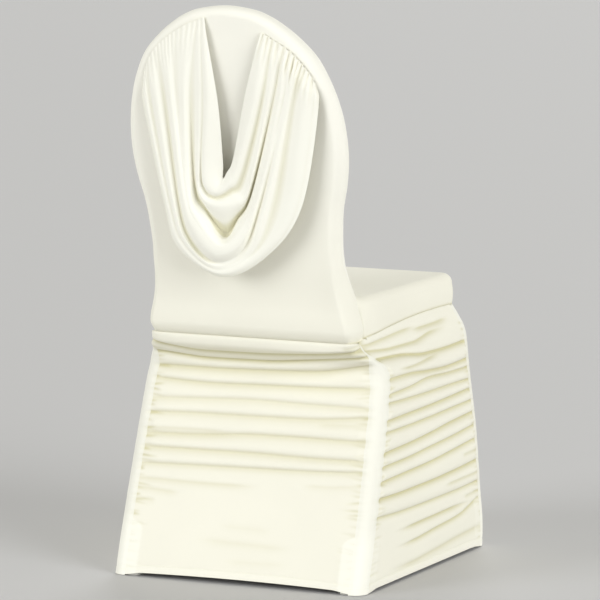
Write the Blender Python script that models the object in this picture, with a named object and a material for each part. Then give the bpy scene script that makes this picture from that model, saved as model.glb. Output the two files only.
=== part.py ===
"""Stretch chair cover with a draped swag on its back, modelled for Blender 4.5.

Units are metres and +Z is up. The cover's front faces -Y and its back, with the swag, faces +Y.
The chair inside is left out, so the cover is hollow. Every piece of cloth is an outer surface that a
Solidify modifier thickens inwards. Tables are in millimetres, a row for each section or fold.
"""

import math
from collections import namedtuple

import bpy
from mathutils import Vector

MM = 0.001

# Sizes that drive the cover
CLOTH = 2.0 * MM             # thickness of the cloth
SEAM_GAP = 0.3 * MM          # room between two pieces along a seam
GATHER_GAP = 1.2 * MM        # the same where a ruched panel is gathered on to a strip
PINCH_GAP = 1.8 * MM         # and above the legs, where the waist pinches the cloth
PINCH_FROM = 325.0 * MM      # height where the pinched part begins
SEAT_HEIGHT = 457.0 * MM     # top of the seat above the floor, 18 in
BACK_THICKNESS = 42.0 * MM   # the padded back inside the hood, with its cloth
BACK_EDGE_ROLL = 16.0 * MM   # how far in from the hood's outline its edge is rounded
SEAT_REAR = 156.0 * MM       # where the seat panel ends in front of the hood
SEAT_CORNER = 22.0 * MM      # rounding of the seat's front corners, seen from above
SEAT_EDGE_ROLL = 16.0 * MM   # rounding of the seat's top edge
LEG_ROUND = 20.0 * MM        # rounding of the skirt over a leg of the chair
STRIP_LEG = 4.0 * MM         # flat part of a corner strip past the rounding, on each face
POCKET_SIZE = 36.0 * MM      # a foot pocket, seen from above
POCKET_HEIGHT = 88.0 * MM
POCKET_INSET = 7.5 * MM      # from the skirt's surface in to the pocket's outer face
SWAG_CLEARANCE = 5.4 * MM    # from the hood's surface out to the swag's outer face where it is sewn on

# Outline of the skirt: half widths and depths at its back and its front corners
Skirt = namedtuple("Skirt", "height back_half back_y front_half front_y")
SKIRT_SECTIONS = (
    Skirt(0, 219.5, 240.0, 220.0, -250.0),
    Skirt(30, 219.5, 231.0, 220.0, -252.0),
    Skirt(100, 218.5, 208.0, 218.5, -244.0),
    Skirt(200, 216.0, 175.0, 216.0, -232.0),
    Skirt(300, 212.0, 143.0, 213.0, -211.0),
    Skirt(330, 208.5, 135.0, 211.5, -207.0),
    Skirt(345, 203.0, 139.5, 211.0, -205.0),
    Skirt(360, 193.0, 158.0, 209.5, -203.0),
    Skirt(372, 187.0, 176.0, 207.0, -200.0),
    Skirt(386, 184.5, 183.0, 201.0, -196.0),
    Skirt(406, 184.5, 186.0, 190.5, -191.0),
)

# Outline of the hood over the chair's back: half width, and depth of its rear face
Hood = namedtuple("Hood", "height half rear_y")
HOOD_SECTIONS = (
    Hood(386.5, 181.0, 183.0),
    Hood(395, 181.0, 189.0),
    Hood(405, 182.0, 193.0),
    Hood(420, 179.5, 195.0),
    Hood(440, 174.5, 196.2),
    Hood(460, 170.5, 199.0),
    Hood(480, 167.5, 203.0),
    Hood(500, 165.2, 207.4),
    Hood(530, 163.5, 213.3),
    Hood(560, 165.0, 219.0),
    Hood(600, 169.5, 226.2),
    Hood(640, 179.0, 233.0),
    Hood(680, 184.5, 240.2),
    Hood(720, 184.2, 247.5),
    Hood(760, 178.5, 255.3),
    Hood(800, 166.5, 264.0),
    Hood(840, 146.5, 272.0),
    Hood(870, 118.5, 277.5),
    Hood(890, 92.5, 281.5),
    Hood(903, 70.0, 284.0),
    Hood(912, 44.0, 285.8),
    Hood(917, 0.0, 286.5),
)

# Ruching: each row is a crease, its height at the panel's first edge, its middle and its last edge, and its
# depth there. The first edge is at +X on the back and the front, and at the rear on the two sides.
Crease = namedtuple("Crease", "first middle last deep_first deep_middle deep_last")
BACK_CREASES = (
    Crease(367, 363, 375, 4.0, 4.5, 3.0),
    Crease(356, 350, 362, 3.0, 5.0, 4.0),
    Crease(329, 327, 343, 3.0, 3.0, 4.0),
    Crease(307, 302, 313, 3.0, 3.0, 3.0),
    Crease(278, 281, 286, 2.6, 2.4, 2.6),
    Crease(256, 254, 265, 2.4, 2.2, 2.6),
    Crease(224, 227, 231, 2.4, 2.0, 2.0),
    Crease(202, 198, 201, 2.4, 1.8, 2.0),
    Crease(176, 177, 180, 2.4, 1.4, 1.8),
    Crease(158, 152, 156, 2.0, 0.6, 1.0),
    Crease(139, 134, 136, 1.6, 0.3, 0.6),
    Crease(118, 114, 116, 1.2, 0.2, 0.4),
)
SIDE_CREASES = (
    Crease(379, 394, 390, 3.0, 3.0, 2.5),
    Crease(371, 373, 378, 3.0, 3.5, 3.5),
    Crease(359, 351, 360, 3.0, 5.0, 3.0),
    Crease(331, 327, 343, 3.0, 4.0, 4.5),
    Crease(305, 304, 310, 3.0, 3.5, 3.0),
    Crease(285, 284, 280, 4.0, 4.0, 4.0),
    Crease(261, 262, 266, 3.5, 4.5, 4.5),
    Crease(241, 243, 250, 3.0, 3.5, 4.0),
    Crease(210, 219, 226, 3.5, 4.0, 4.5),
    Crease(189, 196, 202, 3.5, 4.0, 4.0),
    Crease(166, 170, 182, 3.0, 4.0, 4.5),
    Crease(142, 146, 154, 3.0, 3.5, 4.5),
    Crease(116, 119, 126, 2.5, 3.0, 4.0),
    Crease(97, 99, 106, 1.5, 2.0, 3.0),
    Crease(73, 78, 83, 1.5, 2.5, 3.5),
    Crease(50, 52, 63, 1.5, 2.0, 3.0),
)
FRONT_CREASES = (
    Crease(389, 386, 391, 3.5, 3.5, 3.0),
    Crease(368, 364, 366, 4.0, 4.0, 4.0),
    Crease(343, 347, 342, 4.0, 3.5, 4.0),
    Crease(321, 318, 324, 3.5, 3.0, 3.5),
    Crease(294, 297, 299, 4.0, 3.5, 3.5),
    Crease(272, 268, 274, 3.0, 3.0, 3.5),
    Crease(249, 251, 246, 3.5, 3.0, 3.0),
    Crease(222, 218, 224, 3.0, 2.5, 3.0),
    Crease(197, 199, 195, 3.0, 2.5, 3.0),
    Crease(171, 168, 174, 2.5, 2.0, 2.5),
    Crease(146, 150, 148, 2.5, 1.5, 2.5),
    Crease(119, 117, 123, 2.0, 1.0, 2.0),
    Crease(92, 90, 94, 1.5, 0.6, 1.5),
)

# Folds of the swag from its neck down to its hem. Each row is one line along the cloth: nine (x, z) places
# from its left end round its lowest place to its right end, and how far it stands off the hood at its
# sides and at its lowest place. +X is on the left, seen from behind.
Drape = namedtuple("Drape", "left_end left_up left_low left_deep lowest "
                            "right_deep right_low right_up right_end side_off low_off")
SWAG_DRAPES = (
    Drape((29, 899), (14, 777), (12, 679), (13, 654), (13, 645),
          (6, 656), (-6, 679), (-34, 779), (-67, 878), 7, 14),
    Drape((33, 898), (28, 782), (41, 671), (39, 638), (21, 625),
          (0, 638), (-16, 666), (-55, 781), (-77, 873), 14, 26),
    Drape((36, 896), (38, 781), (49, 660), (44, 627), (25, 614),
          (-1, 626), (-22, 648), (-65, 779), (-84, 868), 8, 20),
    Drape((39, 895), (44, 780), (55, 648), (44, 611), (16, 601),
          (-15, 609), (-34, 632), (-76, 778), (-94, 863), 12, 31),
    Drape((43, 893), (60, 776), (62, 634), (47, 596), (18, 576),
          (-14, 592), (-38, 626), (-83, 778), (-102, 858), 5, 11),
    Drape((59, 888), (70, 775), (67, 628), (46, 590), (12, 569),
          (-20, 586), (-43, 624), (-91, 778), (-108, 854), 14, 38),
    Drape((85, 874), (84, 771), (71, 622), (50, 580), (12, 556),
          (-24, 577), (-46, 622), (-95, 778), (-112, 851), 7, 34),
    Drape((101, 863), (93, 770), (79, 613), (60, 563), (22, 537),
          (-24, 559), (-51, 619), (-101, 778), (-116, 848), 15, 44),
    Drape((118, 849), (107, 767), (91, 606), (72, 548), (31, 516),
          (-18, 535), (-55, 614), (-105, 777), (-120, 844), 5, 33),
    Drape((129, 835), (118, 764), (97, 605), (77, 544), (30, 508),
          (-29, 531), (-64, 611), (-111, 777), (-126, 838), 14, 42),
    Drape((137, 821), (131, 759), (105, 603), (83, 540), (27, 502),
          (-38, 531), (-76, 607), (-118, 776), (-134, 829), 6, 37),
    Drape((143, 806), (137, 755), (110, 602), (88, 536), (23, 496),
          (-48, 529), (-101, 605), (-137, 773), (-144, 816), 11, 38),
    Drape((148, 789), (144, 750), (116, 600), (94, 532), (20, 490),
          (-57, 525), (-121, 605), (-157, 762), (-152, 801), 6, 34),
)
SWAG_COLUMNS = 30
SWAG_SEAM_WAVE = 1.2              # gathers where the swag is sewn on, in millimetres
DEEP_SHARE = 0.8                  # of the way from a line's side_off to its low_off, at its two deep places
FOLD_STEEPEST = 0.8               # rise of a fold for its width, at most
FOLD_TIGHTEST = 1.25 * CLOTH      # lines closer than this lie flat
CURVE_STEPS = 12                  # between two given places, when a smooth curve is measured


def smooth_value(places, values, place):
    """Value at a place on the smooth curve through a table, which never overshoots its rows."""
    if place <= places[0]:
        return values[0]
    if place >= places[-1]:
        return values[-1]
    slopes = [(values[i + 1] - values[i]) / (places[i + 1] - places[i]) for i in range(len(places) - 1)]

    def slope_at(row):
        if row == 0:
            return slopes[0]
        if row == len(places) - 1:
            return slopes[-1]
        before, after = slopes[row - 1], slopes[row]
        if before * after <= 0:
            return 0.0
        return 2 * before * after / (before + after)

    row = max(i for i in range(len(places) - 1) if places[i] <= place)
    step = places[row + 1] - places[row]
    t = (place - places[row]) / step
    return ((2 * t**3 - 3 * t**2 + 1) * values[row] + (t**3 - 2 * t**2 + t) * step * slope_at(row)
            + (-2 * t**3 + 3 * t**2) * values[row + 1] + (t**3 - t**2) * step * slope_at(row + 1))


def from_table(table, column, height):
    """A table's column, in metres, at a height in metres."""
    places = [row.height * MM for row in table]
    values = [getattr(row, column) * MM for row in table]
    return smooth_value(places, values, height)


def through_three(first, middle, last, along):
    """Value at 0 to 1 along a panel, on the parabola through its first edge, middle and last edge."""
    return (first * (1 - along) * (1 - 2 * along) + middle * 4 * along * (1 - along)
            + last * along * (2 * along - 1))


def cloth_material(name, colour, roughness):
    """A plain cloth material of a colour and roughness."""
    material = bpy.data.materials.new(name)
    material.use_nodes = True
    shader = material.node_tree.nodes["Principled BSDF"]
    shader.inputs["Base Color"].default_value = (*colour, 1.0)
    shader.inputs["Roughness"].default_value = roughness
    shader.inputs["Metallic"].default_value = 0.0
    return material


IVORY = (0.86, 0.83, 0.70)
STRIP_IVORY = (0.90, 0.88, 0.78)
POCKET_IVORY = (0.88, 0.86, 0.75)
SWAG_IVORY = (0.87, 0.85, 0.72)


def make_sheet(name, points, faces, inside, colour):
    """One piece of cloth: an outer surface that faces away from the place inside, thickened inwards."""
    facing = 0.0
    for face in faces:
        corners = [points[i] for i in face]
        centre = sum(corners, Vector()) / len(corners)
        turn = (corners[1] - corners[0]).cross(corners[-1] - corners[0])
        facing += turn.dot(centre - inside)
    if facing < 0:
        faces = [tuple(reversed(face)) for face in faces]
    mesh = bpy.data.meshes.new(name)
    mesh.from_pydata([tuple(p) for p in points], [], faces)
    mesh.validate()
    mesh.shade_smooth()
    sheet = bpy.data.objects.new(name, mesh)
    sheet.data.materials.append(cloth_material(name + "_cloth", colour, 0.6))
    bpy.context.scene.collection.objects.link(sheet)
    solid = sheet.modifiers.new("Thickness", "SOLIDIFY")
    solid.thickness = CLOTH
    solid.offset = -1.0
    solid.use_rim = True
    solid.use_quality_normals = True
    return sheet


def grid_faces(rows, columns, first=0):
    """Four-sided faces of a grid of points, stored row after row."""
    return [(first + r * columns + c, first + r * columns + c + 1,
             first + (r + 1) * columns + c + 1, first + (r + 1) * columns + c)
            for r in range(rows - 1) for c in range(columns - 1)]


# Skirt panels
WAIST = 385.8 * MM                   # top of the skirt's back, where it meets the hood
FRONT_TOP = 405.5 * MM               # top of its front, where it meets the seat's band
BACK_HEM = (2.5 * MM, 6.0 * MM, 3.0 * MM)    # height of a hem at the first edge, the middle and the last edge
FRONT_HEM = (2.5 * MM, 4.0 * MM, 2.5 * MM)
SIDE_HEM = (2.0 * MM, 2.0 * MM, 2.0 * MM)
PANEL_PLACES = (0.0, 0.07, 0.27, 0.5, 0.73, 0.93, 1.0)   # columns of a panel from one seam to the other
RIDGE_PLACES = (0.34, 0.66)                               # rows on a ridge between two creases
RIDGE_SHARE = 0.15                                        # how far a ridge stands out, of its height
RIDGE_MOST = 4.5 * MM
RIDGE_FULL_DEPTH = 2.0 * MM                               # a shallower crease has lower ridges beside it
HEM_PLACES = (0.2, 0.5, 1.0)                              # plain rows from the last crease to the hem
SEAM_SHARE = 0.65                                         # of the relief that is left near a side seam
INSIDE_SKIRT = Vector((0, 0, 0.2))                        # a place inside the skirt


def gather_gap(height):
    return PINCH_GAP if height > PINCH_FROM else GATHER_GAP


def back_place(along, height):
    """A place on the skirt's back, and the way out from it."""
    half = from_table(SKIRT_SECTIONS, "back_half", height) - LEG_ROUND - STRIP_LEG - gather_gap(height)
    spot = Vector((half * (1 - 2 * along), from_table(SKIRT_SECTIONS, "back_y", height), height))
    return spot, Vector((0, 1, 0))


def front_place(along, height):
    """A place on the skirt's front, and the way out from it."""
    half = from_table(SKIRT_SECTIONS, "front_half", height) - LEG_ROUND - STRIP_LEG - gather_gap(height)
    spot = Vector((half * (1 - 2 * along), from_table(SKIRT_SECTIONS, "front_y", height), height))
    return spot, Vector((0, -1, 0))


def side_place(side, along, height):
    """A place on one side of the skirt, from its rear seam to its front seam, and the way out from it."""
    trim = LEG_ROUND + STRIP_LEG + gather_gap(height)
    rear = from_table(SKIRT_SECTIONS, "back_y", height) - trim
    front = from_table(SKIRT_SECTIONS, "front_y", height) + trim
    rear_half = from_table(SKIRT_SECTIONS, "back_half", height)
    front_half = from_table(SKIRT_SECTIONS, "front_half", height)
    half = rear_half + (front_half - rear_half) * along
    return Vector((side * half, rear + (front - rear) * along, height)), Vector((side, 0, 0))


def side_top(along):
    """Height of a side panel's top edge, just under the seat's band."""
    return band_seam_height(side_place(1, along, FRONT_TOP)[0].y) - 2 * SEAM_GAP


def ruched_panel(name, place, creases, top, hem):
    """A panel with a row for its top, for each crease and each ridge between, and plain rows to its hem."""
    points = []
    rows = 0

    def add_row(heights, offsets):
        nonlocal rows
        for along, height, offset in zip(PANEL_PLACES, heights, offsets):
            spot, out = place(along, height)
            points.append(spot + out * offset)
        rows += 1

    def fade(along):
        return SEAM_SHARE if along in PANEL_PLACES[:2] + PANEL_PLACES[-2:] else 1.0

    above = [top(along) for along in PANEL_PLACES]
    add_row(above, [0.0] * len(PANEL_PLACES))
    for crease in creases:
        heights = [through_three(crease.first, crease.middle, crease.last, a) * MM for a in PANEL_PLACES]
        depths = [through_three(crease.deep_first, crease.deep_middle, crease.deep_last, a) * MM * fade(a)
                  for a in PANEL_PLACES]
        ridges = [min(RIDGE_MOST, (up - low) * RIDGE_SHARE) * min(1.0, depth / RIDGE_FULL_DEPTH) * fade(a)
                  for a, up, low, depth in zip(PANEL_PLACES, above, heights, depths)]
        for share in RIDGE_PLACES:
            add_row([up + (low - up) * share for up, low in zip(above, heights)], ridges)
        add_row(heights, [-depth for depth in depths])
        above = heights
    edge = [through_three(*hem, along) for along in PANEL_PLACES]
    for share in HEM_PLACES:
        add_row([up + (low - up) * share for up, low in zip(above, edge)], [0.0] * len(PANEL_PLACES))
    return make_sheet(name, points, grid_faces(rows, len(PANEL_PLACES)), INSIDE_SKIRT, IVORY)


# Corner strips
ARC_ANGLES = (0, 30, 60, 90)
BACK_STRIP_HEIGHTS = (1, 30, 80, 140, 200, 260, 305, 322, 332, 339, 345, 352, 359, 366, 372, 379, 385)
FRONT_STRIP_HEIGHTS = (1, 20, 45, 80, 130, 190, 250, 300, 330, 350, 365, 378, 388, 398, 405)


def corner_path(side, end, height, inset=0.0):
    """Places around one corner of the skirt, from the back or front face round to the side."""
    column = "back" if end > 0 else "front"
    half = from_table(SKIRT_SECTIONS, column + "_half", height) - inset
    depth = abs(from_table(SKIRT_SECTIONS, column + "_y", height)) - inset
    path = [Vector((side * (half - LEG_ROUND - STRIP_LEG), end * depth, height))]
    for angle in ARC_ANGLES:
        turn = math.radians(angle)
        path.append(Vector((side * (half - LEG_ROUND * (1 - math.sin(turn))),
                            end * (depth - LEG_ROUND * (1 - math.cos(turn))), height)))
    path.append(Vector((side * half, end * (depth - LEG_ROUND - STRIP_LEG), height)))
    return path


def corner_strip(name, side, end):
    """The plain strip over one leg, from the floor to the waist or to the seat's band."""
    heights = BACK_STRIP_HEIGHTS if end > 0 else FRONT_STRIP_HEIGHTS
    points = []
    for height in heights:
        points.extend(corner_path(side, end, height * MM))
    columns = len(ARC_ANGLES) + 2
    return make_sheet(name, points, grid_faces(len(heights), columns), INSIDE_SKIRT, STRIP_IVORY)


# Foot pockets
POCKET_ROWS = (0.0, 0.45, 1.0)
POCKET_DIP = 16.0 * MM        # how much lower the pocket's mouth is away from the leg's corner
POCKET_ROUND = 8.0 * MM
FLOOR_FLAT = 0.8              # share of the floor's width that lies quite flat, inside its turned-up rim


def pocket_ring(side, end, height):
    """Outline of one foot pocket at a height: a square whose outer corner follows the skirt's."""
    column = "back" if end > 0 else "front"
    half = from_table(SKIRT_SECTIONS, column + "_half", height) - POCKET_INSET
    depth = abs(from_table(SKIRT_SECTIONS, column + "_y", height)) - POCKET_INSET
    outer_round = LEG_ROUND - POCKET_INSET
    size = POCKET_SIZE
    corners = (
        (half, depth, outer_round, 0),
        (half, depth - size, POCKET_ROUND, -90),
        (half - size, depth - size, POCKET_ROUND, -180),
        (half - size, depth, POCKET_ROUND, -270),
    )
    ring = []
    for x, y, rounding, start in corners:
        sign_x = 1 if start in (0, -90) else -1
        sign_y = 1 if start in (0, -270) else -1
        for angle in (90, 45, 0):
            turn = math.radians(start + angle)
            ring.append((x - sign_x * rounding + rounding * math.cos(turn),
                         y - sign_y * rounding + rounding * math.sin(turn)))
    return [Vector((side * x, end * y, height)) for x, y in ring]


def foot_pocket(name, side, end):
    """A pocket with a flat floor, open at the top, inside one corner of the hem."""
    ring = pocket_ring(side, end, 0.0)
    count = len(ring)
    outer_corner = ring[1]
    floor_middle = sum(ring, Vector()) / count
    points = [floor_middle.lerp(spot, FLOOR_FLAT) for spot in ring]
    for share in POCKET_ROWS:
        for spot in ring:
            away = (spot - outer_corner).length / (POCKET_SIZE * math.sqrt(2))
            height = share * (POCKET_HEIGHT - POCKET_DIP * away)
            lean = pocket_ring(side, end, height)[ring.index(spot)]
            points.append(lean)
    faces = [tuple(range(count))]
    for row in range(len(POCKET_ROWS)):
        for i in range(count):
            j = (i + 1) % count
            faces.append((row * count + j, row * count + i, (row + 1) * count + i, (row + 1) * count + j))
    middle = sum(points, Vector()) / len(points)
    return make_sheet(name, points, faces, middle, POCKET_IVORY)


# Hood over the chair's back
ROLL_ANGLES = (0, 30, 60, 90)
HOOD_COLUMNS = 8
HOOD_SEAM_HALF = 1.2 * MM   # from the seam of the two panels to the edge of each
SEAM_TURNS_AT = (462.0 * MM, 510.0 * MM)   # above these heights the rear panel's side seam reaches mid edge


def hood_half(height):
    return from_table(HOOD_SECTIONS, "half", height)


def hood_rear(height):
    return from_table(HOOD_SECTIONS, "rear_y", height)


def seam_depth(height):
    """How far in front of the back's middle the seam of the two hood panels runs."""
    low, high = SEAM_TURNS_AT
    share = min(1.0, max(0.0, (high - height) / (high - low)))
    return share * (BACK_THICKNESS / 2 - 1.0 * MM)


def outline_normal(outline, index):
    """The way in from the hood's outline, in its own plane, at one of the outline's points."""
    before = outline[max(0, index - 1)]
    after = outline[min(len(outline) - 1, index + 1)]
    along = Vector((after[0] - before[0], after[1] - before[1])).normalized()
    return Vector((-along.y, along.x))


def hood_panel(name, rows, rear):
    """One of the hood's two panels: rounded edge rings along its outline, and straight rows across."""
    way = 1 if rear else -1
    right = [(row.half * MM, row.height * MM) for row in rows]
    outline = [(x, z) for x, z in right] + [(-x, z) for x, z in reversed(right[:-1])]
    count = len(outline)
    top = len(right) - 1
    points = []
    for ring, angle in enumerate(ROLL_ANGLES):
        turn = math.radians(angle)
        inset = BACK_EDGE_ROLL * (1 - math.cos(turn))
        for i, (x, z) in enumerate(outline):
            inward = outline_normal(outline, i)
            if i in (0, count - 1):
                inward = Vector((-1.0 if i == 0 else 1.0, 0.0))
            seam = HOOD_SEAM_HALF - way * seam_depth(z)
            depth = seam + (BACK_THICKNESS / 2 - seam) * math.sin(turn)
            spot_x, spot_z = x + inward.x * inset, z + inward.y * inset
            points.append(Vector((spot_x, hood_rear(z) - BACK_THICKNESS / 2 + way * depth, spot_z)))
    faces = []
    for ring in range(len(ROLL_ANGLES) - 1):
        for i in range(count - 1):
            a = ring * count + i
            faces.append((a, a + 1, a + 1 + count, a + count))
    inner = (len(ROLL_ANGLES) - 1) * count
    ladder = []
    for i in range(top):
        left, other = points[inner + i], points[inner + count - 1 - i]
        line = [inner + i]
        for c in range(1, HOOD_COLUMNS):
            line.append(len(points))
            points.append(left.lerp(other, c / HOOD_COLUMNS))
        line.append(inner + count - 1 - i)
        ladder.append(line)
    for low, high in zip(ladder, ladder[1:]):
        for c in range(HOOD_COLUMNS):
            faces.append((low[c + 1], low[c], high[c], high[c + 1]))
    apex = inner + top
    for c in range(HOOD_COLUMNS):
        faces.append((ladder[-1][c + 1], ladder[-1][c], apex))
    inside = Vector((0, -way, 0.6))
    return make_sheet(name, points, faces, inside, IVORY)


# Seat panel
SEAT_BAND_HEIGHTS = (0.0, 0.5, 1.0)     # rows of the turned-down band, from its seam to the rounding
SEAT_ROLL_ANGLES = (45, 90)
SEAT_SIDE_PLACES = (138, 110, 60, 0, -60, -120, -168)
SEAT_DRAWN_IN = 4.0 * MM                # how far the band is drawn in one place before its end at the hood
SEAT_REAR_ROLL = 0.3                    # share of the top edge's rounding that is left at that end
SEAM_ROOM = 0.8 * MM                    # from the band's end to the hood
SEAT_FRONT_PLACES = (110, 40)
SEAT_CORNER_ANGLES = (0, 22.5, 45, 67.5, 90)
SEAT_FRONT = 191.0 * MM
SEAT_HALF_FRONT = 190.5 * MM
SEAT_HALF_REAR = 186.0 * MM
BAND_SEAM = (391.0 * MM, 406.0 * MM, 406.0 * MM)   # its height at the rear, half way and at the front


def band_seam_height(y):
    along = (SEAT_REAR - y) / (SEAT_REAR + SEAT_FRONT)
    return through_three(*BAND_SEAM, along) + SEAM_GAP


def seat_outline(height):
    """The seat panel's outline at a height, from its rear left end round the front to its rear right end.

    Its two rear ends lie against the hood's sides, a seam's gap in front of them.
    """
    rear = hood_rear(height) - BACK_THICKNESS / 2 - seam_depth(height) + HOOD_SEAM_HALF - SEAM_ROOM
    half_line = [(hood_half(height), min(SEAT_REAR, rear))]
    for y in SEAT_SIDE_PLACES:
        along = (SEAT_REAR - y * MM) / (SEAT_REAR + SEAT_FRONT)
        half_line.append((SEAT_HALF_REAR + (SEAT_HALF_FRONT - SEAT_HALF_REAR) * along, y * MM))
    half_line[1] = (half_line[1][0] - SEAT_DRAWN_IN, half_line[1][1])
    for angle in SEAT_CORNER_ANGLES[1:]:
        turn = math.radians(angle)
        half_line.append((SEAT_HALF_FRONT - SEAT_CORNER * (1 - math.cos(turn)),
                          -SEAT_FRONT + SEAT_CORNER * (1 - math.sin(turn))))
    for x in SEAT_FRONT_PLACES:
        half_line.append((x * MM, -SEAT_FRONT))
    return half_line + [(-x, y) for x, y in reversed(half_line)]


def seat_panel():
    """The seat's top, flat, with a rounded edge and a band turned down at its front and sides."""
    rounding_from = SEAT_HEIGHT - SEAT_EDGE_ROLL
    points = []
    for share in SEAT_BAND_HEIGHTS:
        low_outline = seat_outline(band_seam_height(SEAT_REAR) * (1 - share) + rounding_from * share)
        for x, y in low_outline:
            seam = band_seam_height(y)
            points.append(Vector((x, y, seam + (rounding_from - seam) * share)))
    outline = seat_outline(SEAT_HEIGHT)
    count = len(outline)
    for angle in SEAT_ROLL_ANGLES:
        turn = math.radians(angle)
        inset = SEAT_EDGE_ROLL * (1 - math.cos(turn))
        for i, (x, y) in enumerate(outline):
            inward = outline_normal(outline, i) * -1
            if i in (0, count - 1):
                inward = Vector((-SEAT_REAR_ROLL if i == 0 else SEAT_REAR_ROLL, 0.0))
            spot = Vector((x, y)) + inward * inset
            points.append(Vector((spot.x, spot.y, rounding_from + SEAT_EDGE_ROLL * math.sin(turn))))
    faces = []
    rings = len(SEAT_BAND_HEIGHTS) + len(SEAT_ROLL_ANGLES)
    for ring in range(rings - 1):
        for i in range(count - 1):
            a = ring * count + i
            faces.append((a, a + 1, a + 1 + count, a + count))
    flat = (rings - 1) * count
    faces.append(tuple(flat + i for i in range(count)))
    return make_sheet("seat_panel", points, faces, INSIDE_SKIRT, IVORY)


# Swag
def hood_surface(x, z):
    """Depth of the hood's rear surface at a place, with its rounded edge."""
    outline = [(row.half * MM, row.height * MM) for row in HOOD_SECTIONS]
    spot = Vector((abs(x), z))
    near = BACK_EDGE_ROLL
    for a, b in zip(outline, outline[1:]):
        start, along = Vector(a), Vector(b) - Vector(a)
        t = min(1.0, max(0.0, (spot - start).dot(along) / along.length_squared))
        near = min(near, (spot - start - along * t).length)
    off = BACK_THICKNESS / 2 * math.sin(math.acos(1 - near / BACK_EDGE_ROLL))
    return hood_rear(z) - BACK_THICKNESS / 2 + off


def smooth_line(places, count):
    """Evenly spread places on the smooth curve through a few places."""
    line = [places[0] * 2 - places[1]] + list(places) + [places[-1] * 2 - places[-2]]
    fine = []
    for i in range(1, len(line) - 2):
        a, b, c, d = line[i - 1:i + 3]
        for step in range(CURVE_STEPS):
            t = step / CURVE_STEPS
            fine.append(0.5 * (2 * b + (c - a) * t + (2 * a - 5 * b + 4 * c - d) * t**2
                               + (3 * b - a - 3 * c + d) * t**3))
    fine.append(line[-2])
    lengths = [0.0]
    for p, q in zip(fine, fine[1:]):
        lengths.append(lengths[-1] + (q - p).length)
    spread = []
    for i in range(count):
        want = lengths[-1] * i / (count - 1)
        k = min(len(fine) - 2, max(j for j in range(len(fine)) if lengths[j] <= want + 1e-9))
        share = (want - lengths[k]) / (lengths[k + 1] - lengths[k])
        spread.append(fine[k].lerp(fine[k + 1], share))
    return spread


def drape_line(drape, wave):
    """Places along one fold of the swag, from its left seam to its right seam."""
    side, low = drape.side_off, drape.low_off
    half_way = (side + low) / 2
    deep = side + (low - side) * DEEP_SHARE
    left = [(drape.left_end, wave), (drape.left_up, side),
            (drape.left_low, half_way), (drape.left_deep, deep)]
    right = [(drape.right_deep, deep), (drape.right_low, half_way),
             (drape.right_up, side), (drape.right_end, wave)]
    stages = left + [(drape.lowest, low)] + right
    return smooth_line([Vector((x * MM, off * MM, z * MM)) for (x, z), off in stages], SWAG_COLUMNS + 1)


def ease_tight_folds(lines):
    """Flatten a fold where its lines run so close together that the cloth would cut itself."""
    eased = [[p.copy() for p in line] for line in lines]
    for number in range(1, len(lines) - 1):
        for i, p in enumerate(lines[number]):
            before, after = lines[number - 1][i], lines[number + 1][i]
            level = (before.y + after.y) / 2
            room = (math.hypot(p.x - before.x, p.z - before.z) + math.hypot(p.x - after.x, p.z - after.z)) / 2
            most = max(0.0, room - FOLD_TIGHTEST) * FOLD_STEEPEST
            eased[number][i].y = level + max(-most, min(most, p.y - level))
    return eased


def swag():
    """The draped cowl: a line along each fold, and one half way between each two."""
    folds = ease_tight_folds([drape_line(drape, SWAG_SEAM_WAVE * (number % 2))
                              for number, drape in enumerate(SWAG_DRAPES)])
    lines = [folds[0]]
    for line in folds[1:]:
        lines.append([a.lerp(b, 0.5) for a, b in zip(lines[-1], line)])
        lines.append(line)
    points = [Vector((p.x, hood_surface(p.x, p.z) + SWAG_CLEARANCE + max(0.0, p.y), p.z))
              for line in lines for p in line]
    in_front = Vector((0, -1, 0.6))
    return make_sheet("swag", points, grid_faces(len(lines), SWAG_COLUMNS + 1), in_front, SWAG_IVORY)


def centre_on_floor(sheets):
    """Put the middle of the whole cover's depth over the origin."""
    depths = [corner.co.y for sheet in sheets for corner in sheet.data.vertices]
    for sheet in sheets:
        sheet.location.y = -(min(depths) + max(depths)) / 2


def main():
    for thing in list(bpy.data.objects):
        bpy.data.objects.remove(thing)
    above_seat = [row for row in HOOD_SECTIONS if row.height * MM >= SEAT_HEIGHT]
    sheets = [
        hood_panel("hood_rear_panel", HOOD_SECTIONS, rear=True),
        hood_panel("hood_front_panel", above_seat, rear=False),
        seat_panel(),
        ruched_panel("skirt_back", back_place, BACK_CREASES, lambda a: WAIST, BACK_HEM),
        ruched_panel("skirt_front", front_place, FRONT_CREASES, lambda a: FRONT_TOP, FRONT_HEM),
        swag(),
    ]
    for word, side in (("left", 1), ("right", -1)):
        sheets.append(ruched_panel("skirt_" + word, lambda a, h, s=side: side_place(s, a, h), SIDE_CREASES,
                                   side_top, SIDE_HEM))
        for place, end in (("back", 1), ("front", -1)):
            sheets.append(corner_strip("corner_strip_" + place + "_" + word, side, end))
            sheets.append(foot_pocket("foot_pocket_" + place + "_" + word, side, end))
    centre_on_floor(sheets)


main()
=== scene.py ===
"""Looks of a stretch chair cover with a draped swag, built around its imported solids.

Units are metres and +Z is up. The cover's back, with the swag, faces +Y and its left side +X. Tables are in
millimetres. Every piece of cloth is a fine outer surface, thickened inwards, that stands for one solid of the
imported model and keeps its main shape. The creases, puckers and folds are worked into that surface.
"""

from __future__ import annotations

import logging
import math
from dataclasses import dataclass, field, replace
from enum import Enum
from typing import Callable, Sequence

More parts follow.
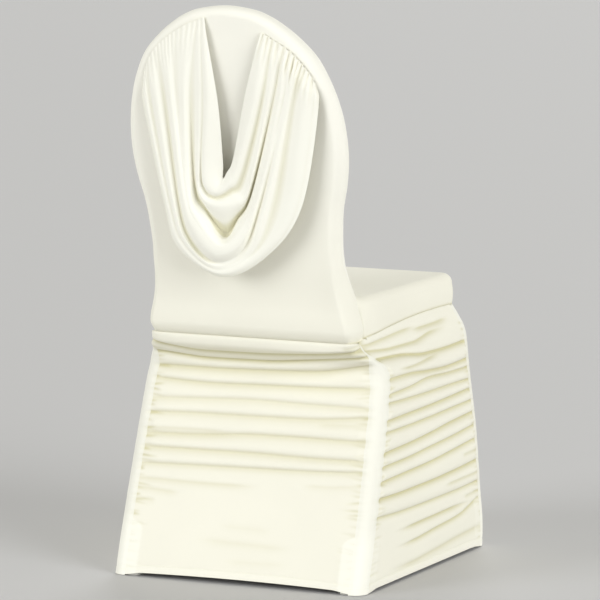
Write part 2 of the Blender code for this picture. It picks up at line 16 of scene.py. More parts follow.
import bpy
import numpy as np
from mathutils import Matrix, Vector

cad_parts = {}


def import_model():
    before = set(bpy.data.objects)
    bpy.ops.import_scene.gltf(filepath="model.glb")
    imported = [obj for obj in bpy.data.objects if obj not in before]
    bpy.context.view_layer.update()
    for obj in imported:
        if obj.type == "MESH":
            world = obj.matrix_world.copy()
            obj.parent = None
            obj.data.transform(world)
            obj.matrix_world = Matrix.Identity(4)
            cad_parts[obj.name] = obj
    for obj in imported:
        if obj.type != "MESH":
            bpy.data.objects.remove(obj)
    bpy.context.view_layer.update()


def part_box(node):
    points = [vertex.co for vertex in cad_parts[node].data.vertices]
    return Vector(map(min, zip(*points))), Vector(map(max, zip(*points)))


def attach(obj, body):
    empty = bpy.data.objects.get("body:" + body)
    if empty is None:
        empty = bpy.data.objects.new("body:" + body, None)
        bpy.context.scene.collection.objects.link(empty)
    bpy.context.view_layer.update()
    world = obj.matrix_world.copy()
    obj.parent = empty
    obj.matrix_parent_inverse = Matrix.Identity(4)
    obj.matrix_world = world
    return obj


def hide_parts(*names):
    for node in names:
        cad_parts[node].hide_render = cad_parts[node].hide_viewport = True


LOG = logging.getLogger("chair_cover")
Array = np.ndarray
MM = 0.001


# Options
class Worded(Enum):
    """An option whose word is part of the nodes' names."""

    @property
    def word(self) -> str:
        """Its word in the nodes' names."""
        return self.name.lower()


class Side(Worded):
    """A side of the cover."""

    LEFT = 1
    RIGHT = -1


class End(Worded):
    """The back or the front of the cover."""

    BACK = 1
    FRONT = -1


class Hold(Enum):
    """How a piece of cloth is held in its shape."""

    STRETCHED = "stretched"
    GATHERED = "gathered"
    DRAPED = "draped"


# Smooth curves
class Profile:
    """A smooth curve through a table's rows, which never overshoots them."""

    def __init__(self, places: Sequence[float], values: Sequence[float]) -> None:
        """Work out the slope at each row.

        Args:
            places: where the rows are, rising.
            values: the value at each.
        """
        self.places = np.asarray(places, float)
        self.values = np.asarray(values, float)
        rises = np.diff(self.values) / np.diff(self.places)
        before, after = rises[:-1], rises[1:]
        total = np.where(before * after > 0, before + after, 1.0)
        inner = np.where(before * after > 0, 2 * before * after / total, 0.0)
        self.slopes = np.concatenate((rises[:1], inner, rises[-1:]))

    def __call__(self, place: Array | float) -> Array:
        """Value at a place, or at each of several.

        Args:
            place: the place or places.

        Returns:
            The value or values, in the same arrangement.
        """
        place = np.clip(place, self.places[0], self.places[-1])
        row = np.clip(np.searchsorted(self.places, place, side="right") - 1, 0, len(self.places) - 2)
        step = self.places[row + 1] - self.places[row]
        t = (place - self.places[row]) / step
        return ((2 * t**3 - 3 * t**2 + 1) * self.values[row]
                + (t**3 - 2 * t**2 + t) * step * self.slopes[row]
                + (-2 * t**3 + 3 * t**2) * self.values[row + 1]
                + (t**3 - t**2) * step * self.slopes[row + 1])


def smooth_step(share: Array | float) -> Array:
    """Ease from 0 to 1 as the share does, and stay there outside."""
    share = np.clip(share, 0.0, 1.0)
    return share * share * (3 - 2 * share)


def bell(away: Array | float, reach: float) -> Array:
    """Fall from 1 at no distance towards 0 past the reach, the same on both sides."""
    return np.exp(-(away / reach) ** 2)


def through_three(values: tuple[float, float, float], along: Array | float) -> Array:
    """Value along a panel, on the parabola through its first edge, middle and last edge.

    Args:
        values: the three values.
        along: 0 at the first edge to 1 at the last.

    Returns:
        The value at each place along.
    """
    first, middle, last = values
    return (first * (1 - along) * (1 - 2 * along) + middle * 4 * along * (1 - along)
            + last * along * (2 * along - 1))


def smooth_rows(rows: Array, steps: int) -> Array:
    """Rows on the smooth curve through a few given ones.

    Args:
        rows: the given rows, each a number, a place or a whole line of places.
        steps: how many rows to put in each gap.

    Returns:
        The given rows with the new ones between them.
    """
    line = np.concatenate(([2 * rows[0] - rows[1]], rows, [2 * rows[-1] - rows[-2]]))
    t = (np.arange(steps) / steps).reshape(-1, *[1] * (rows.ndim - 1))
    spans = [0.5 * (2 * b + (c - a) * t + (2 * a - 5 * b + 4 * c - d) * t**2
                    + (3 * b - a - 3 * c + d) * t**3)
             for a, b, c, d in zip(line, line[1:], line[2:], line[3:])]
    return np.concatenate(spans + [rows[-1:]])


def spread_evenly(line: Array, count: int) -> Array:
    """Places an even way apart along a line.

    Args:
        line: the line's places, one to a row.
        count: how many places to give.

    Returns:
        The evenly spread places.
    """
    steps = np.linalg.norm(np.diff(line, axis=0), axis=1)
    lengths = np.concatenate(([0.0], np.cumsum(steps)))
    wanted = np.linspace(0.0, lengths[-1], count)
    return np.stack([np.interp(wanted, lengths, line[:, k]) for k in range(line.shape[1])], axis=1)


def bunched_ends(count: int, bunching: float) -> Array:
    """Places from 0 to 1 that lie closer together near both ends.

    Args:
        count: how many places.
        bunching: 0 for even places, towards 1 for closer ends.

    Returns:
        The places, rising.
    """
    t = np.linspace(0.0, 1.0, count)
    return t - bunching * np.sin(2 * math.pi * t) / (2 * math.pi)


def rows_across(ring: Array, numbers: Array, rows: int, columns: int) -> tuple[Array, Array]:
    """Fill in straight rows between the two sides of a ring.

    Args:
        ring: the ring's places, from one side round to the other.
        numbers: their point numbers, the last ones given out.
        rows: how many rows, counted from the ring's two ends.
        columns: how many steps there are across.

    Returns:
        The new places, and the point numbers of the whole rows.
    """
    left, right = ring[:rows], ring[::-1][:rows]
    shares = np.linspace(0, 1, columns + 1)[1:-1]
    places = left[:, None] + (right - left)[:, None] * shares[None, :, None]
    middle = numbers[-1] + 1 + np.arange(rows * (columns - 1)).reshape(rows, -1)
    return places, np.concatenate((numbers[:rows, None], middle, numbers[::-1][:rows, None]), axis=1)


# Driving sizes, the same as the solids' own
SEAT_HEIGHT = 457 * MM       # top of the seat above the floor
SEAT_FRONT = 191 * MM        # the seat's front edge, before the cover is centred on the origin
SEAT_REAR = 156 * MM
SEAT_CORNER = 22 * MM
SEAT_EDGE_ROLL = 16 * MM
SEAT_HALF_FRONT = 190.5 * MM
SEAT_HALF_REAR = 186 * MM
BACK_THICKNESS = 42 * MM     # the padded back inside the hood, with its cloth
BACK_EDGE_ROLL = 16 * MM
HOOD_TOP = 917 * MM
LEG_ROUND = 20 * MM          # rounding of the skirt over a leg
STRIP_LEG = 4 * MM           # flat part of a corner strip past the rounding
SEAM_GAP = 0.02 * MM         # between two pieces along a seam, as it looks
WAIST = 386.4 * MM
FRONT_TOP = 406.2 * MM
BAND_SEAM = (391.3 * MM, 406.3 * MM, 406.3 * MM)
PINCH = (182 * MM, 160 * MM, 386 * MM)
POCKET_SIZE = 36 * MM
POCKET_HEIGHT = 88 * MM
POCKET_INSET = 7.5 * MM
POCKET_DIP = 16 * MM
POCKET_ROUND = 8 * MM
CLOTH = 1.3 * MM             # thickness of the cloth
HEM_HEIGHT = 11 * MM         # turned-up hem
HEM_LIFT = 3 * MM            # the hem rises this much beside each corner
ALLOWANCE = 6 * MM           # cloth turned in past a seam
LEAST_GAP = 1 * MM           # least way between two long creases
CURVE_STEPS = 12             # rows put between two of a table's, where a line is smoothed
INSIDE_SKIRT = (0, 0, 0.2)   # places that the outer side of a cloth looks away from
INSIDE_BAND = (0, 0, 0.35)
HOOD_MIDDLE = 0.6            # a height half way up the hood

# How far round the corner the back panel's seam lies, in millimetres: height and way, row by row
WAIST_SEAM = ((0, 0), (328, 0), (342, 4), (356, 18), (367, 33), (390, 34))


@dataclass(frozen=True)
class SkirtRow:
    """Outline of the skirt at a height: half widths and depths at its back and front corners."""

    height: float
    back_half: float
    back_y: float
    front_half: float
    front_y: float


SKIRT_ROWS = (
    SkirtRow(0, 219.5, 240.0, 220.0, -250.0),
    SkirtRow(30, 219.5, 231.0, 220.0, -252.0),
    SkirtRow(100, 218.5, 208.0, 218.5, -244.0),
    SkirtRow(200, 216.0, 175.0, 216.0, -232.0),
    SkirtRow(300, 212.0, 143.0, 213.0, -211.0),
    SkirtRow(330, 208.5, 135.0, 211.5, -207.0),
    SkirtRow(345, 203.0, 139.5, 211.0, -205.0),
    SkirtRow(360, 193.0, 158.0, 209.5, -203.0),
    SkirtRow(372, 187.0, 176.0, 207.0, -200.0),
    SkirtRow(386, 184.5, 183.0, 201.0, -196.0),
    SkirtRow(406, 184.5, 186.0, 190.5, -191.0),
)


@dataclass(frozen=True)
class HoodRow:
    """Outline of the hood at a height: half width, and depth of its rear face."""

    height: float
    half: float
    rear_y: float


HOOD_ROWS = (
    HoodRow(386.5, 181.0, 183.0),
    HoodRow(395, 181.0, 189.0),
    HoodRow(405, 182.0, 193.0),
    HoodRow(420, 179.5, 195.0),
    HoodRow(440, 174.5, 196.2),
    HoodRow(460, 170.5, 199.0),
    HoodRow(480, 167.5, 203.0),
    HoodRow(500, 165.2, 207.4),
    HoodRow(530, 163.5, 213.3),
    HoodRow(560, 165.0, 219.0),
    HoodRow(600, 169.5, 226.2),
    HoodRow(640, 179.0, 233.0),
    HoodRow(680, 184.5, 240.2),
    HoodRow(720, 184.2, 247.5),
    HoodRow(760, 178.5, 255.3),
    HoodRow(800, 166.5, 264.0),
    HoodRow(840, 146.5, 272.0),
    HoodRow(870, 118.5, 277.5),
    HoodRow(890, 92.5, 281.5),
    HoodRow(903, 70.0, 284.0),
    HoodRow(912, 44.0, 285.8),
    HoodRow(917, 0.0, 286.5),
)


@dataclass
class CoverForm:
    """The cover's outlines, as curves of the height, in the frame's own place."""

    shift: float
    seam_turns_at: tuple[float, float] = (462 * MM, 510 * MM)
    seam_inset: float = 1 * MM
    pinch_pull: float = 0.94         # share of the way to a pinch that the cloth there is drawn
    pinch_reach: float = 11 * MM
    pinch_inwards: float = 5 * MM    # and how far it is then moved in towards the middle
    inwards_reach: float = 15 * MM
    # reach of the painted shade round each pinch
    tint_reach: float = 9 * MM
    curves: dict[str, Profile] = field(default_factory=dict)

    def __post_init__(self) -> None:
        """Draw a curve through each column of the two tables."""
        for rows, columns in ((SKIRT_ROWS, ("back_half", "back_y", "front_half", "front_y")),
                              (HOOD_ROWS, ("half", "rear_y"))):
            heights = [row.height * MM for row in rows]
            for column in columns:
                self.curves[column] = Profile(heights, [getattr(row, column) * MM for row in rows])

    def skirt_half(self, end: End, height: Array | float) -> Array:
        """Half width of the skirt at its back or front corners, at a height."""
        return self.curves[end.word + "_half"](height)

    def skirt_depth(self, end: End, height: Array | float) -> Array:
        """How far behind or in front of the unshifted middle that face of the skirt is."""
        return np.abs(self.curves[end.word + "_y"](height))

    def hood_half(self, height: Array | float) -> Array:
        """Half width of the hood at a height."""
        return self.curves["half"](height)

    def hood_rear(self, height: Array | float) -> Array:
        """Depth of the hood's rear face at a height, before the shift."""
        return self.curves["rear_y"](height)

    def seam_depth(self, height: Array | float) -> Array:
        """How far in front of the back's middle the seam of the hood's two panels runs."""
        low, high = self.seam_turns_at
        return np.clip((high - height) / (high - low), 0, 1) * (BACK_THICKNESS / 2 - self.seam_inset)

    def corner(self, sign: Array | int, end: End, run: Array, height: Array) -> tuple[Array, Array]:
        """Places round a corner of the skirt, and the way out from each.

        Args:
            sign: 1 for the left corner, -1 for the right one.
            end: the back or the front.
            run: distance round the corner from the edge on the back or front face.
            height: height of each place.

        Returns:
            The places with the shift, and the way out.
        """
        half = self.skirt_half(end, height)
        depth = self.skirt_depth(end, height)
        turn = np.clip((run - STRIP_LEG) / LEG_ROUND, 0, math.pi / 2)
        before = np.clip(STRIP_LEG - run, 0, None)
        after = np.clip(run - STRIP_LEG - LEG_ROUND * math.pi / 2, 0, None)
        x = half - LEG_ROUND * (1 - np.sin(turn)) - before
        y = depth - LEG_ROUND * (1 - np.cos(turn)) - after
        points = np.stack((sign * x, end.value * y + self.shift, height + 0 * x), axis=-1)
        out = np.stack((sign * np.sin(turn), end.value * np.cos(turn), 0 * turn), axis=-1)
        return points, out

    def seam_run(self, end: End, height: Array) -> Array:
        """How far round a corner the face panel's seam lies: at the waist it runs round to the pinch."""
        if end is End.FRONT:
            return 0 * height
        heights, runs = np.array(WAIST_SEAM).T * MM
        return Profile(heights, runs)(height)

    def face_place(self, end: End, along: Array, height: Array) -> tuple[Array, Array]:
        """Places on the skirt's back or front panel, and the way out from each.

        Args:
            end: the back or the front.
            along: 0 at the +X seam to 1 at the other.
            height: height of each place.

        Returns:
            The places with the shift, and the way out.
        """
        flat_half = self.skirt_half(end, height) - LEG_ROUND - STRIP_LEG
        round_it = self.seam_run(end, height) - SEAM_GAP
        from_middle = (1 - 2 * along) * (flat_half + round_it)
        return self.corner(np.where(from_middle < 0, -1, 1), end, np.abs(from_middle) - flat_half, height)

    def side_place(self, side: Side, along: Array, height: Array) -> tuple[Array, Array]:
        """Places on one of the skirt's side panels, and the way out from each.

        Args:
            side: the side.
            along: 0 at the rear seam to 1 at the front seam.
            height: height of each place.

        Returns:
            The places with the shift, and the way out.
        """
        trim = LEG_ROUND + STRIP_LEG + SEAM_GAP
        rear = self.skirt_depth(End.BACK, height) - trim
        front = trim - self.skirt_depth(End.FRONT, height)
        rear_half = self.skirt_half(End.BACK, height)
        half = rear_half + (self.skirt_half(End.FRONT, height) - rear_half) * along
        depth = rear + (front - rear) * along + self.shift
        points = np.stack(np.broadcast_arrays(side.value * half, depth, height), axis=-1)
        return points, np.broadcast_to((float(side.value), 0.0, 0.0), points.shape)

    def pinch_away(self, points: Array) -> Array:
        """Distance of each place from the nearer of the two pinches, where hood, seat and skirt meet."""
        across, depth, height = PINCH
        return np.sqrt((np.abs(points[..., 0]) - across) ** 2 + (points[..., 1] - depth - self.shift) ** 2
                       + (points[..., 2] - height) ** 2)

    def pinched(self, points: Array) -> Array:
        """The places with the cloth round each pinch drawn together and in."""
        away = self.pinch_away(points)
        sign = np.sign(points[..., 0])
        middle = np.stack((sign * PINCH[0], 0 * away + PINCH[1] + self.shift, 0 * away + PINCH[2]), axis=-1)
        gather = self.pinch_pull * bell(away, self.pinch_reach)
        drawn = points + (middle - points) * gather[..., None]
        drawn[..., 0] -= sign * self.pinch_inwards * bell(away, self.inwards_reach)
        return drawn

    def pinch_tint(self, points: Array, reach: float | None = None) -> Array:
        """Painted shade of the cloth drawn together round each pinch, 0 to 1."""
        return bell(self.pinch_away(points), reach or self.tint_reach)

    def band_seam_height(self, depth: Array) -> Array:
        """Height of the seam under the seat's band, at a depth before the shift."""
        return through_three(BAND_SEAM, (SEAT_REAR - depth) / (SEAT_REAR + SEAT_FRONT))

    def side_top(self, along: Array) -> Array:
        """Height of a side panel's top edge, just under the seat's band."""
        places, _ = self.side_place(Side.LEFT, along, np.full_like(along, FRONT_TOP))
        depth = places[..., 1] - self.shift
        return self.band_seam_height(depth) - 3 * SEAM_GAP

    def hood_surface(self, across: Array, height: Array) -> Array:
        """Depth of the hood's rear surface, with its rounded edge and the shift.

        Args:
            across: x of each place.
            height: z of each place.

        Returns:
            y of the surface there.
        """
        outline = np.array([(row.half * MM, row.height * MM) for row in HOOD_ROWS])
        spot = np.stack((np.abs(across), height), axis=-1)
        near = np.full(across.shape, BACK_EDGE_ROLL)
        for start, stop in zip(outline, outline[1:]):
            way = stop - start
            t = np.clip(((spot - start) @ way) / (way @ way), 0, 1)
            near = np.minimum(near, np.linalg.norm(spot - start - t[..., None] * way, axis=-1))
        off = BACK_THICKNESS / 2 * np.sin(np.arccos(1 - near / BACK_EDGE_ROLL))
        return self.hood_rear(height) - BACK_THICKNESS / 2 + off + self.shift


# Finishes
def add_node(tree: bpy.types.NodeTree, kind: str, settings: dict[str, object] | None = None,
             inputs: dict[str | int, object] | None = None) -> bpy.types.Node:
    """Add a node to a tree.

    Args:
        tree: the tree.
        kind: the node's type.
        settings: the node's own settings.
        inputs: for an input, its value or the socket that feeds it.

    Returns:
        The new node.
    """
    node = tree.nodes.new(kind)
    for name, value in (settings or {}).items():
        setattr(node, name, value)
    for name, value in (inputs or {}).items():
        if isinstance(value, bpy.types.NodeSocket):
            tree.links.new(value, node.inputs[name])
        else:
            node.inputs[name].default_value = value
    return node


@dataclass(frozen=True)
class ClothFinish:
    """A knitted stretch cloth: its colour, the olive painted shade in its folds, and its surface.

    The material reads two attributes of the mesh: the painted fold shade, 0 on open cloth to 1 at the bottom
    of a fold, mixed in as olive shade, and double_cloth, 1 where a second layer behind makes it lighter.
    """

    name: str
    slot: str
    colour: tuple[float, float, float]
    # Painted shade: the olive mixed into the folds by their depth stands for the shade in the creases.
    fold_colour: tuple[float, float, float] = (0.56, 0.52, 0.27)
    double_colour: tuple[float, float, float] = (0.95, 0.94, 0.85)
    fold_share: float = 0.5
    double_share: float = 0.75
    roughness: float = 0.75
    shine: float = 0.2
    sheen: float = 0.08
    sheen_roughness: float = 0.4
    drift_scale: float = 6.0        # drift of the colour over a piece, from the first gain to the second
    drift_detail: float = 3.0
    drift_places: tuple[float, float] = (0.3, 0.7)
    drift_gains: tuple[float, float] = (0.985, 1.01)
    wale: float = 0.9 * MM          # pitch of the knit's ribs
    rib_spread: float = 20.0        # how widely ribs and courses are spaced for that pitch
    rib_distortion: float = 1.2
    course_spread: float = 14.0
    course_distortion: float = 0.8
    knit_height: float = 0.06 * MM
    knit_strength: float = 0.6
    slub_height: float = 0.10 * MM
    slub_strength: float = 0.5
    slub_scale: float = 180.0
    slub_detail: float = 4.0

    def material(self) -> bpy.types.Material:
        """Build the node tree.

        Returns:
            The finished material.
        """
        found = bpy.data.materials.get(self.name)
        if found:
            return found
        material = bpy.data.materials.new(self.name)
        material.use_nodes = True
        tree = material.node_tree
        shader = tree.nodes["Principled BSDF"]
        shader.inputs["Roughness"].default_value = self.roughness
        shader.inputs["Specular IOR Level"].default_value = self.shine
        shader.inputs["Sheen Weight"].default_value = self.sheen
        shader.inputs["Sheen Roughness"].default_value = self.sheen_roughness
        tree.links.new(self._colour(tree), shader.inputs["Base Color"])
        tree.links.new(self._bump(tree), shader.inputs["Normal"])
        return material

    @staticmethod
    def _blend(tree: bpy.types.NodeTree, share: bpy.types.NodeSocket, first: bpy.types.NodeSocket,
               second: tuple[float, float, float]) -> bpy.types.NodeSocket:
        """Mix a colour into another by a share, and give the result's socket."""
        mix = add_node(tree, "ShaderNodeMix", {"data_type": "RGBA"},
                       {"Factor": share, "A": first, "B": (*second, 1.0)})
        return mix.outputs["Result"]

    @staticmethod
    def _attribute(tree: bpy.types.NodeTree, name: str, share: float) -> bpy.types.NodeSocket:
        """An attribute of the mesh, times a share."""
        read = add_node(tree, "ShaderNodeAttribute", {"attribute_name": name})
        times = add_node(tree, "ShaderNodeMath", {"operation": "MULTIPLY"},
                         {0: read.outputs["Fac"], 1: share})
        return times.outputs[0]

    def _colour(self, tree: bpy.types.NodeTree) -> bpy.types.NodeSocket:
        """Cloth colour with a slight drift over the piece, olive painted shade in the folds, lighter where
        double.
        """
        places = add_node(tree, "ShaderNodeTexCoord")
        drift = add_node(tree, "ShaderNodeTexNoise", inputs={
            "Vector": places.outputs["Object"], "Scale": self.drift_scale, "Detail": self.drift_detail})
        ramp = add_node(tree, "ShaderNodeValToRGB", inputs={"Fac": drift.outputs["Fac"]})
        for stop, place, gain in zip(ramp.color_ramp.elements, self.drift_places, self.drift_gains):
            stop.position = place
            stop.color = (*[channel * gain for channel in self.colour], 1.0)
        # Painted shade: olive mixed in by the depth of the folds.
        with_painted_shade = self._blend(tree, self._attribute(tree, "fold_depth", self.fold_share),
                             ramp.outputs["Color"], self.fold_colour)
        return self._blend(tree, self._attribute(tree, "double_cloth", self.double_share),
                           with_painted_shade, self.double_colour)

    def _bump(self, tree: bpy.types.NodeTree) -> bpy.types.NodeSocket:
        """Fine ribs and courses of the knit along the cloth, over softer slubs."""
        places = add_node(tree, "ShaderNodeUVMap", {"uv_map": "cloth"}).outputs["UV"]
        ribs, courses = [
            add_node(tree, "ShaderNodeTexWave", {"wave_type": "BANDS", "bands_direction": way},
                     {"Vector": places, "Scale": 1 / (self.wale * spread) * math.pi,
                      "Distortion": distortion})
            for way, spread, distortion in (("X", self.rib_spread, self.rib_distortion),
                                            ("Y", self.course_spread, self.course_distortion))]
        both = add_node(tree, "ShaderNodeMath", {"operation": "MULTIPLY"},
                        {0: ribs.outputs["Fac"], 1: courses.outputs["Fac"]})
        slubs = add_node(tree, "ShaderNodeTexNoise", inputs={
            "Vector": places, "Scale": self.slub_scale, "Detail": self.slub_detail})
        soft = add_node(tree, "ShaderNodeBump", inputs={
            "Strength": self.slub_strength, "Distance": self.slub_height, "Height": slubs.outputs["Fac"]})
        knit = add_node(tree, "ShaderNodeBump", inputs={
            "Strength": self.knit_strength, "Distance": self.knit_height, "Height": both.outputs[0],
            "Normal": soft.outputs["Normal"]})
        return knit.outputs["Normal"]


IVORY = ClothFinish("ivory_stretch_knit", "ivory_stretch_cloth", (0.88, 0.86, 0.75), fold_share=0.9)
# Painted light: the hood's cloth is the skirt's ivory knit, painted lighter for the brighter light on the
# upper hood.
LIT_HOOD_IVORY = ClothFinish("hood_knit", "ivory_stretch_cloth", (0.93, 0.915, 0.83), fold_share=0.6)
# The strips' lighter ivory is partly their double cloth and partly a painted highlight for the sheen on the
# taut strips.
STRIP_DOUBLE_AND_HIGHLIGHT = ClothFinish("strip_knit", "strip_cloth", (0.885, 0.875, 0.79))
POCKET = ClothFinish("pocket_knit", "pocket_cloth", (0.885, 0.875, 0.80))
SWAG_IVORY = ClothFinish("swag_knit", "swag_cloth", (0.925, 0.915, 0.83), fold_share=0.5)
THREAD = ClothFinish("sewing_thread", "ivory_stretch_cloth", (0.88, 0.865, 0.73), wale=0.3 * MM)


# Cloth surfaces
@dataclass
class Surface:
    """The outer side of one piece of cloth, as index grids over a list of places.

    points holds the places and flat where each lay on the cut cloth. The painted shade of the folds and the
    double cloth are kept for the finish to read.
    grids are arrays of point numbers, row by column. A row that repeats one number closes to a point.
    """

    points: Array
    flat: Array
    grids: list[Array]
    fold: Array | None = None
    double: Array | None = None

    @classmethod
    def from_grid(cls, points: Array, flat: Array, fold: Array | None = None,
                  double: Array | None = None) -> Surface:
        """A surface of a single grid.

        Args:
            points: places, row by column.
            flat: places on the cut cloth, row by column.
            fold: painted shade in the folds, row by column.
            double: where the cloth is double, row by column.

        Returns:
            The surface.
        """
        rows, columns = points.shape[:2]
        grid = np.arange(rows * columns).reshape(rows, columns)
        return cls(points.reshape(-1, 3), flat.reshape(-1, 2), [grid],
                   None if fold is None else fold.ravel(), None if double is None else double.ravel())

    def turn_in(self, line: Array, way: Array) -> None:
        """Turn the cloth in past an edge, as at a seam.

        Args:
            line: the edge's point numbers.
            way: how far the cloth goes past it, for all or for each point.
        """
        first = len(self.points)
        self.points = np.concatenate((self.points, self.points[line] + way))
        self.flat = np.concatenate((self.flat, self.flat[line] + (0, ALLOWANCE)))
        if self.fold is not None:
            self.fold = np.concatenate((self.fold, self.fold[line]))
        if self.double is not None:
            self.double = np.concatenate((self.double, self.double[line]))
        self.grids.append(np.stack((line, first + np.arange(len(line)))))

    def faces(self, inside: Sequence[float]) -> list[tuple[int, ...]]:
        """Faces that look away from a place inside.

        Args:
            inside: the place.

        Returns:
            A tuple of point numbers for each face.
        """
        faces = []
        for grid in self.grids:
            quads = np.stack((grid[:-1, :-1], grid[:-1, 1:], grid[1:, 1:], grid[1:, :-1]), -1).reshape(-1, 4)
            corners = self.points[quads]
            turn = np.cross(corners[:, 2] - corners[:, 0], corners[:, 3] - corners[:, 1])
            if ((corners.mean(axis=1) - np.asarray(inside)) * turn).sum() < 0:
                quads = quads[:, ::-1]
            faces += [tuple(dict.fromkeys(quad)) for quad in quads.tolist()]
        return faces

    @staticmethod
    def _corners(mesh: bpy.types.Mesh, name: str) -> Array:
        """One of the mesh's numbers for every corner of its faces."""
        values = np.zeros(len(mesh.loops), int)
        mesh.loops.foreach_get(name, values)
        return values

    def build(self, name: str, finish: ClothFinish, inside: Sequence[float]) -> bpy.types.Object:
        """Make the mesh and thicken it inwards.

        Args:
            name: the object's name.
            finish: its cloth.
            inside: a place that the outer side looks away from.

        Returns:
            The new object.
        """
        mesh = bpy.data.meshes.new(name)
        mesh.from_pydata(self.points.tolist(), [], self.faces(inside))
        mesh.validate()
        mesh.shade_smooth()
        cut = np.bincount(self._corners(mesh, "edge_index"), minlength=len(mesh.edges)) == 1
        mesh.attributes.new("sharp_edge", "BOOLEAN", "EDGE").data.foreach_set("value", cut)
        places = self.flat[self._corners(mesh, "vertex_index")]
        mesh.uv_layers.new(name="cloth").data.foreach_set("uv", places.astype(np.float32).ravel())
        # The painted shade of the folds and the double cloth go to the mesh for the finish to read.
        for word, values in (("fold_depth", self.fold), ("double_cloth", self.double)):
            if values is not None:
                kept = mesh.attributes.new(word, "FLOAT", "POINT")
                kept.data.foreach_set("value", values.astype(np.float32))
        mesh.materials.append(finish.material())
        piece = bpy.data.objects.new(name, mesh)
        bpy.context.scene.collection.objects.link(piece)
        wall = piece.modifiers.new("Thickness", "SOLIDIFY")
        wall.thickness = CLOTH
        wall.offset = -1.0
        return piece


@dataclass
class Piece:
    """One finished piece of cloth and what it stands for."""

    shape: bpy.types.Object
    node: str
    slot: str
    flat: tuple[float, float]
    hold: Hold
    rests_on: tuple[str, ...]
    area: float | None = None

    def settle(self) -> None:
        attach(self.shape, "root")
        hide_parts(self.node)
        LOG.info("%s: %d faces, cut %.0f x %.0f mm", self.shape.name, len(self.shape.data.polygons),
                 self.flat[0] / MM, self.flat[1] / MM)


# Ruching
AT_SEAM = 0.02               # a crease that begins or ends this near a seam runs into it
FREE_END = 0.3               # share of a crease's length over which a free end fades
VALLEY = 1.5                 # how steeply a valley's sides rise


@dataclass(frozen=True)
class Groove:
    """A groove along a seam: how deep it is, and how far it reaches to each side."""

    depth: float
    reach: float

    def field(self, away: Array) -> Array:
        """How far in the cloth lies at a distance from the seam."""
        return self.depth * bell(away, self.reach)


@dataclass(frozen=True)
class Crease:
    """One crease of a ruched panel.

    It runs from start to end, as shares of the way from the panel's first seam to its last, through
    heights that are an even way apart. depth is how far it goes in. above and below are how far its
    valley reaches on each side.
    """

    start: float
    end: float
    heights: tuple[float, ...]
    depth: float
    above: float = 3.5
    below: float = 8.0

    @property
    def whole(self) -> bool:
        """Whether it runs from seam to seam."""
        return self.start <= AT_SEAM and self.end >= 1 - AT_SEAM

    def height(self, along: Array) -> Array:
        """Its height at places along the panel, in metres."""
        places = np.linspace(self.start, self.end, len(self.heights))
        return Profile(places, [height * MM for height in self.heights])(along)

    def field(self, along: Array, height: Array) -> Array:
        """How much of the crease's depth is felt at each place, 0 to 1.

        Args:
            along: places along the panel.
            height: their heights.

        Returns:
            The share of its depth.
        """
        away = height - self.height(along)
        reach = np.where(away > 0, self.above, self.below) * MM
        shape = np.exp(-(np.abs(away) / reach) ** VALLEY)
        fade = FREE_END * (self.end - self.start)
        if self.start > AT_SEAM:
            shape = shape * smooth_step((along - self.start) / fade)
        if self.end < 1 - AT_SEAM:
            shape = shape * smooth_step((self.end - along) / fade)
        return shape


BACK_CREASES = (
    Crease(0, 1, (374, 357, 358, 364, 375), 4.2, 1.8, 7.0),
    Crease(0, 1, (351, 343, 344, 352, 364), 5.0, 2.2, 4.5),
    Crease(0.89, 1, (376, 383), 1.5),
    Crease(0, 1, (326, 326, 328, 332, 348), 3.0),
    Crease(0, 1, (306, 303, 305, 307, 311), 2.6),
    Crease(0, 1, (275, 279, 282, 281, 281), 1.8),
    Crease(0, 1, (253, 256, 257, 259, 267), 2.2),
    Crease(0.74, 1, (251, 255), 1.0),
    Crease(0, 0.42, (229, 231, 230), 1.3),
    Crease(0, 1, (220, 223, 229, 230, 230), 2.4),
    Crease(0, 1, (199, 200, 201, 200, 201), 2.4),
    Crease(0, 1, (174, 176, 178, 180, 184), 2.2),
    Crease(0, 0.59, (151, 150, 151), 1.6),
    Crease(0.71, 1, (158, 159, 164), 0.9),
    Crease(0, 0.21, (137, 132), 1.4),
    Crease(0, 0.10, (121, 118), 1.0),
    Crease(0.36, 0.66, (89, 87, 85), 0.5, 6, 9),
    Crease(0.25, 0.78, (66, 63, 61), 0.8, 6, 10),
    Crease(0.40, 0.75, (35, 36, 38), 0.5, 6, 9),
)
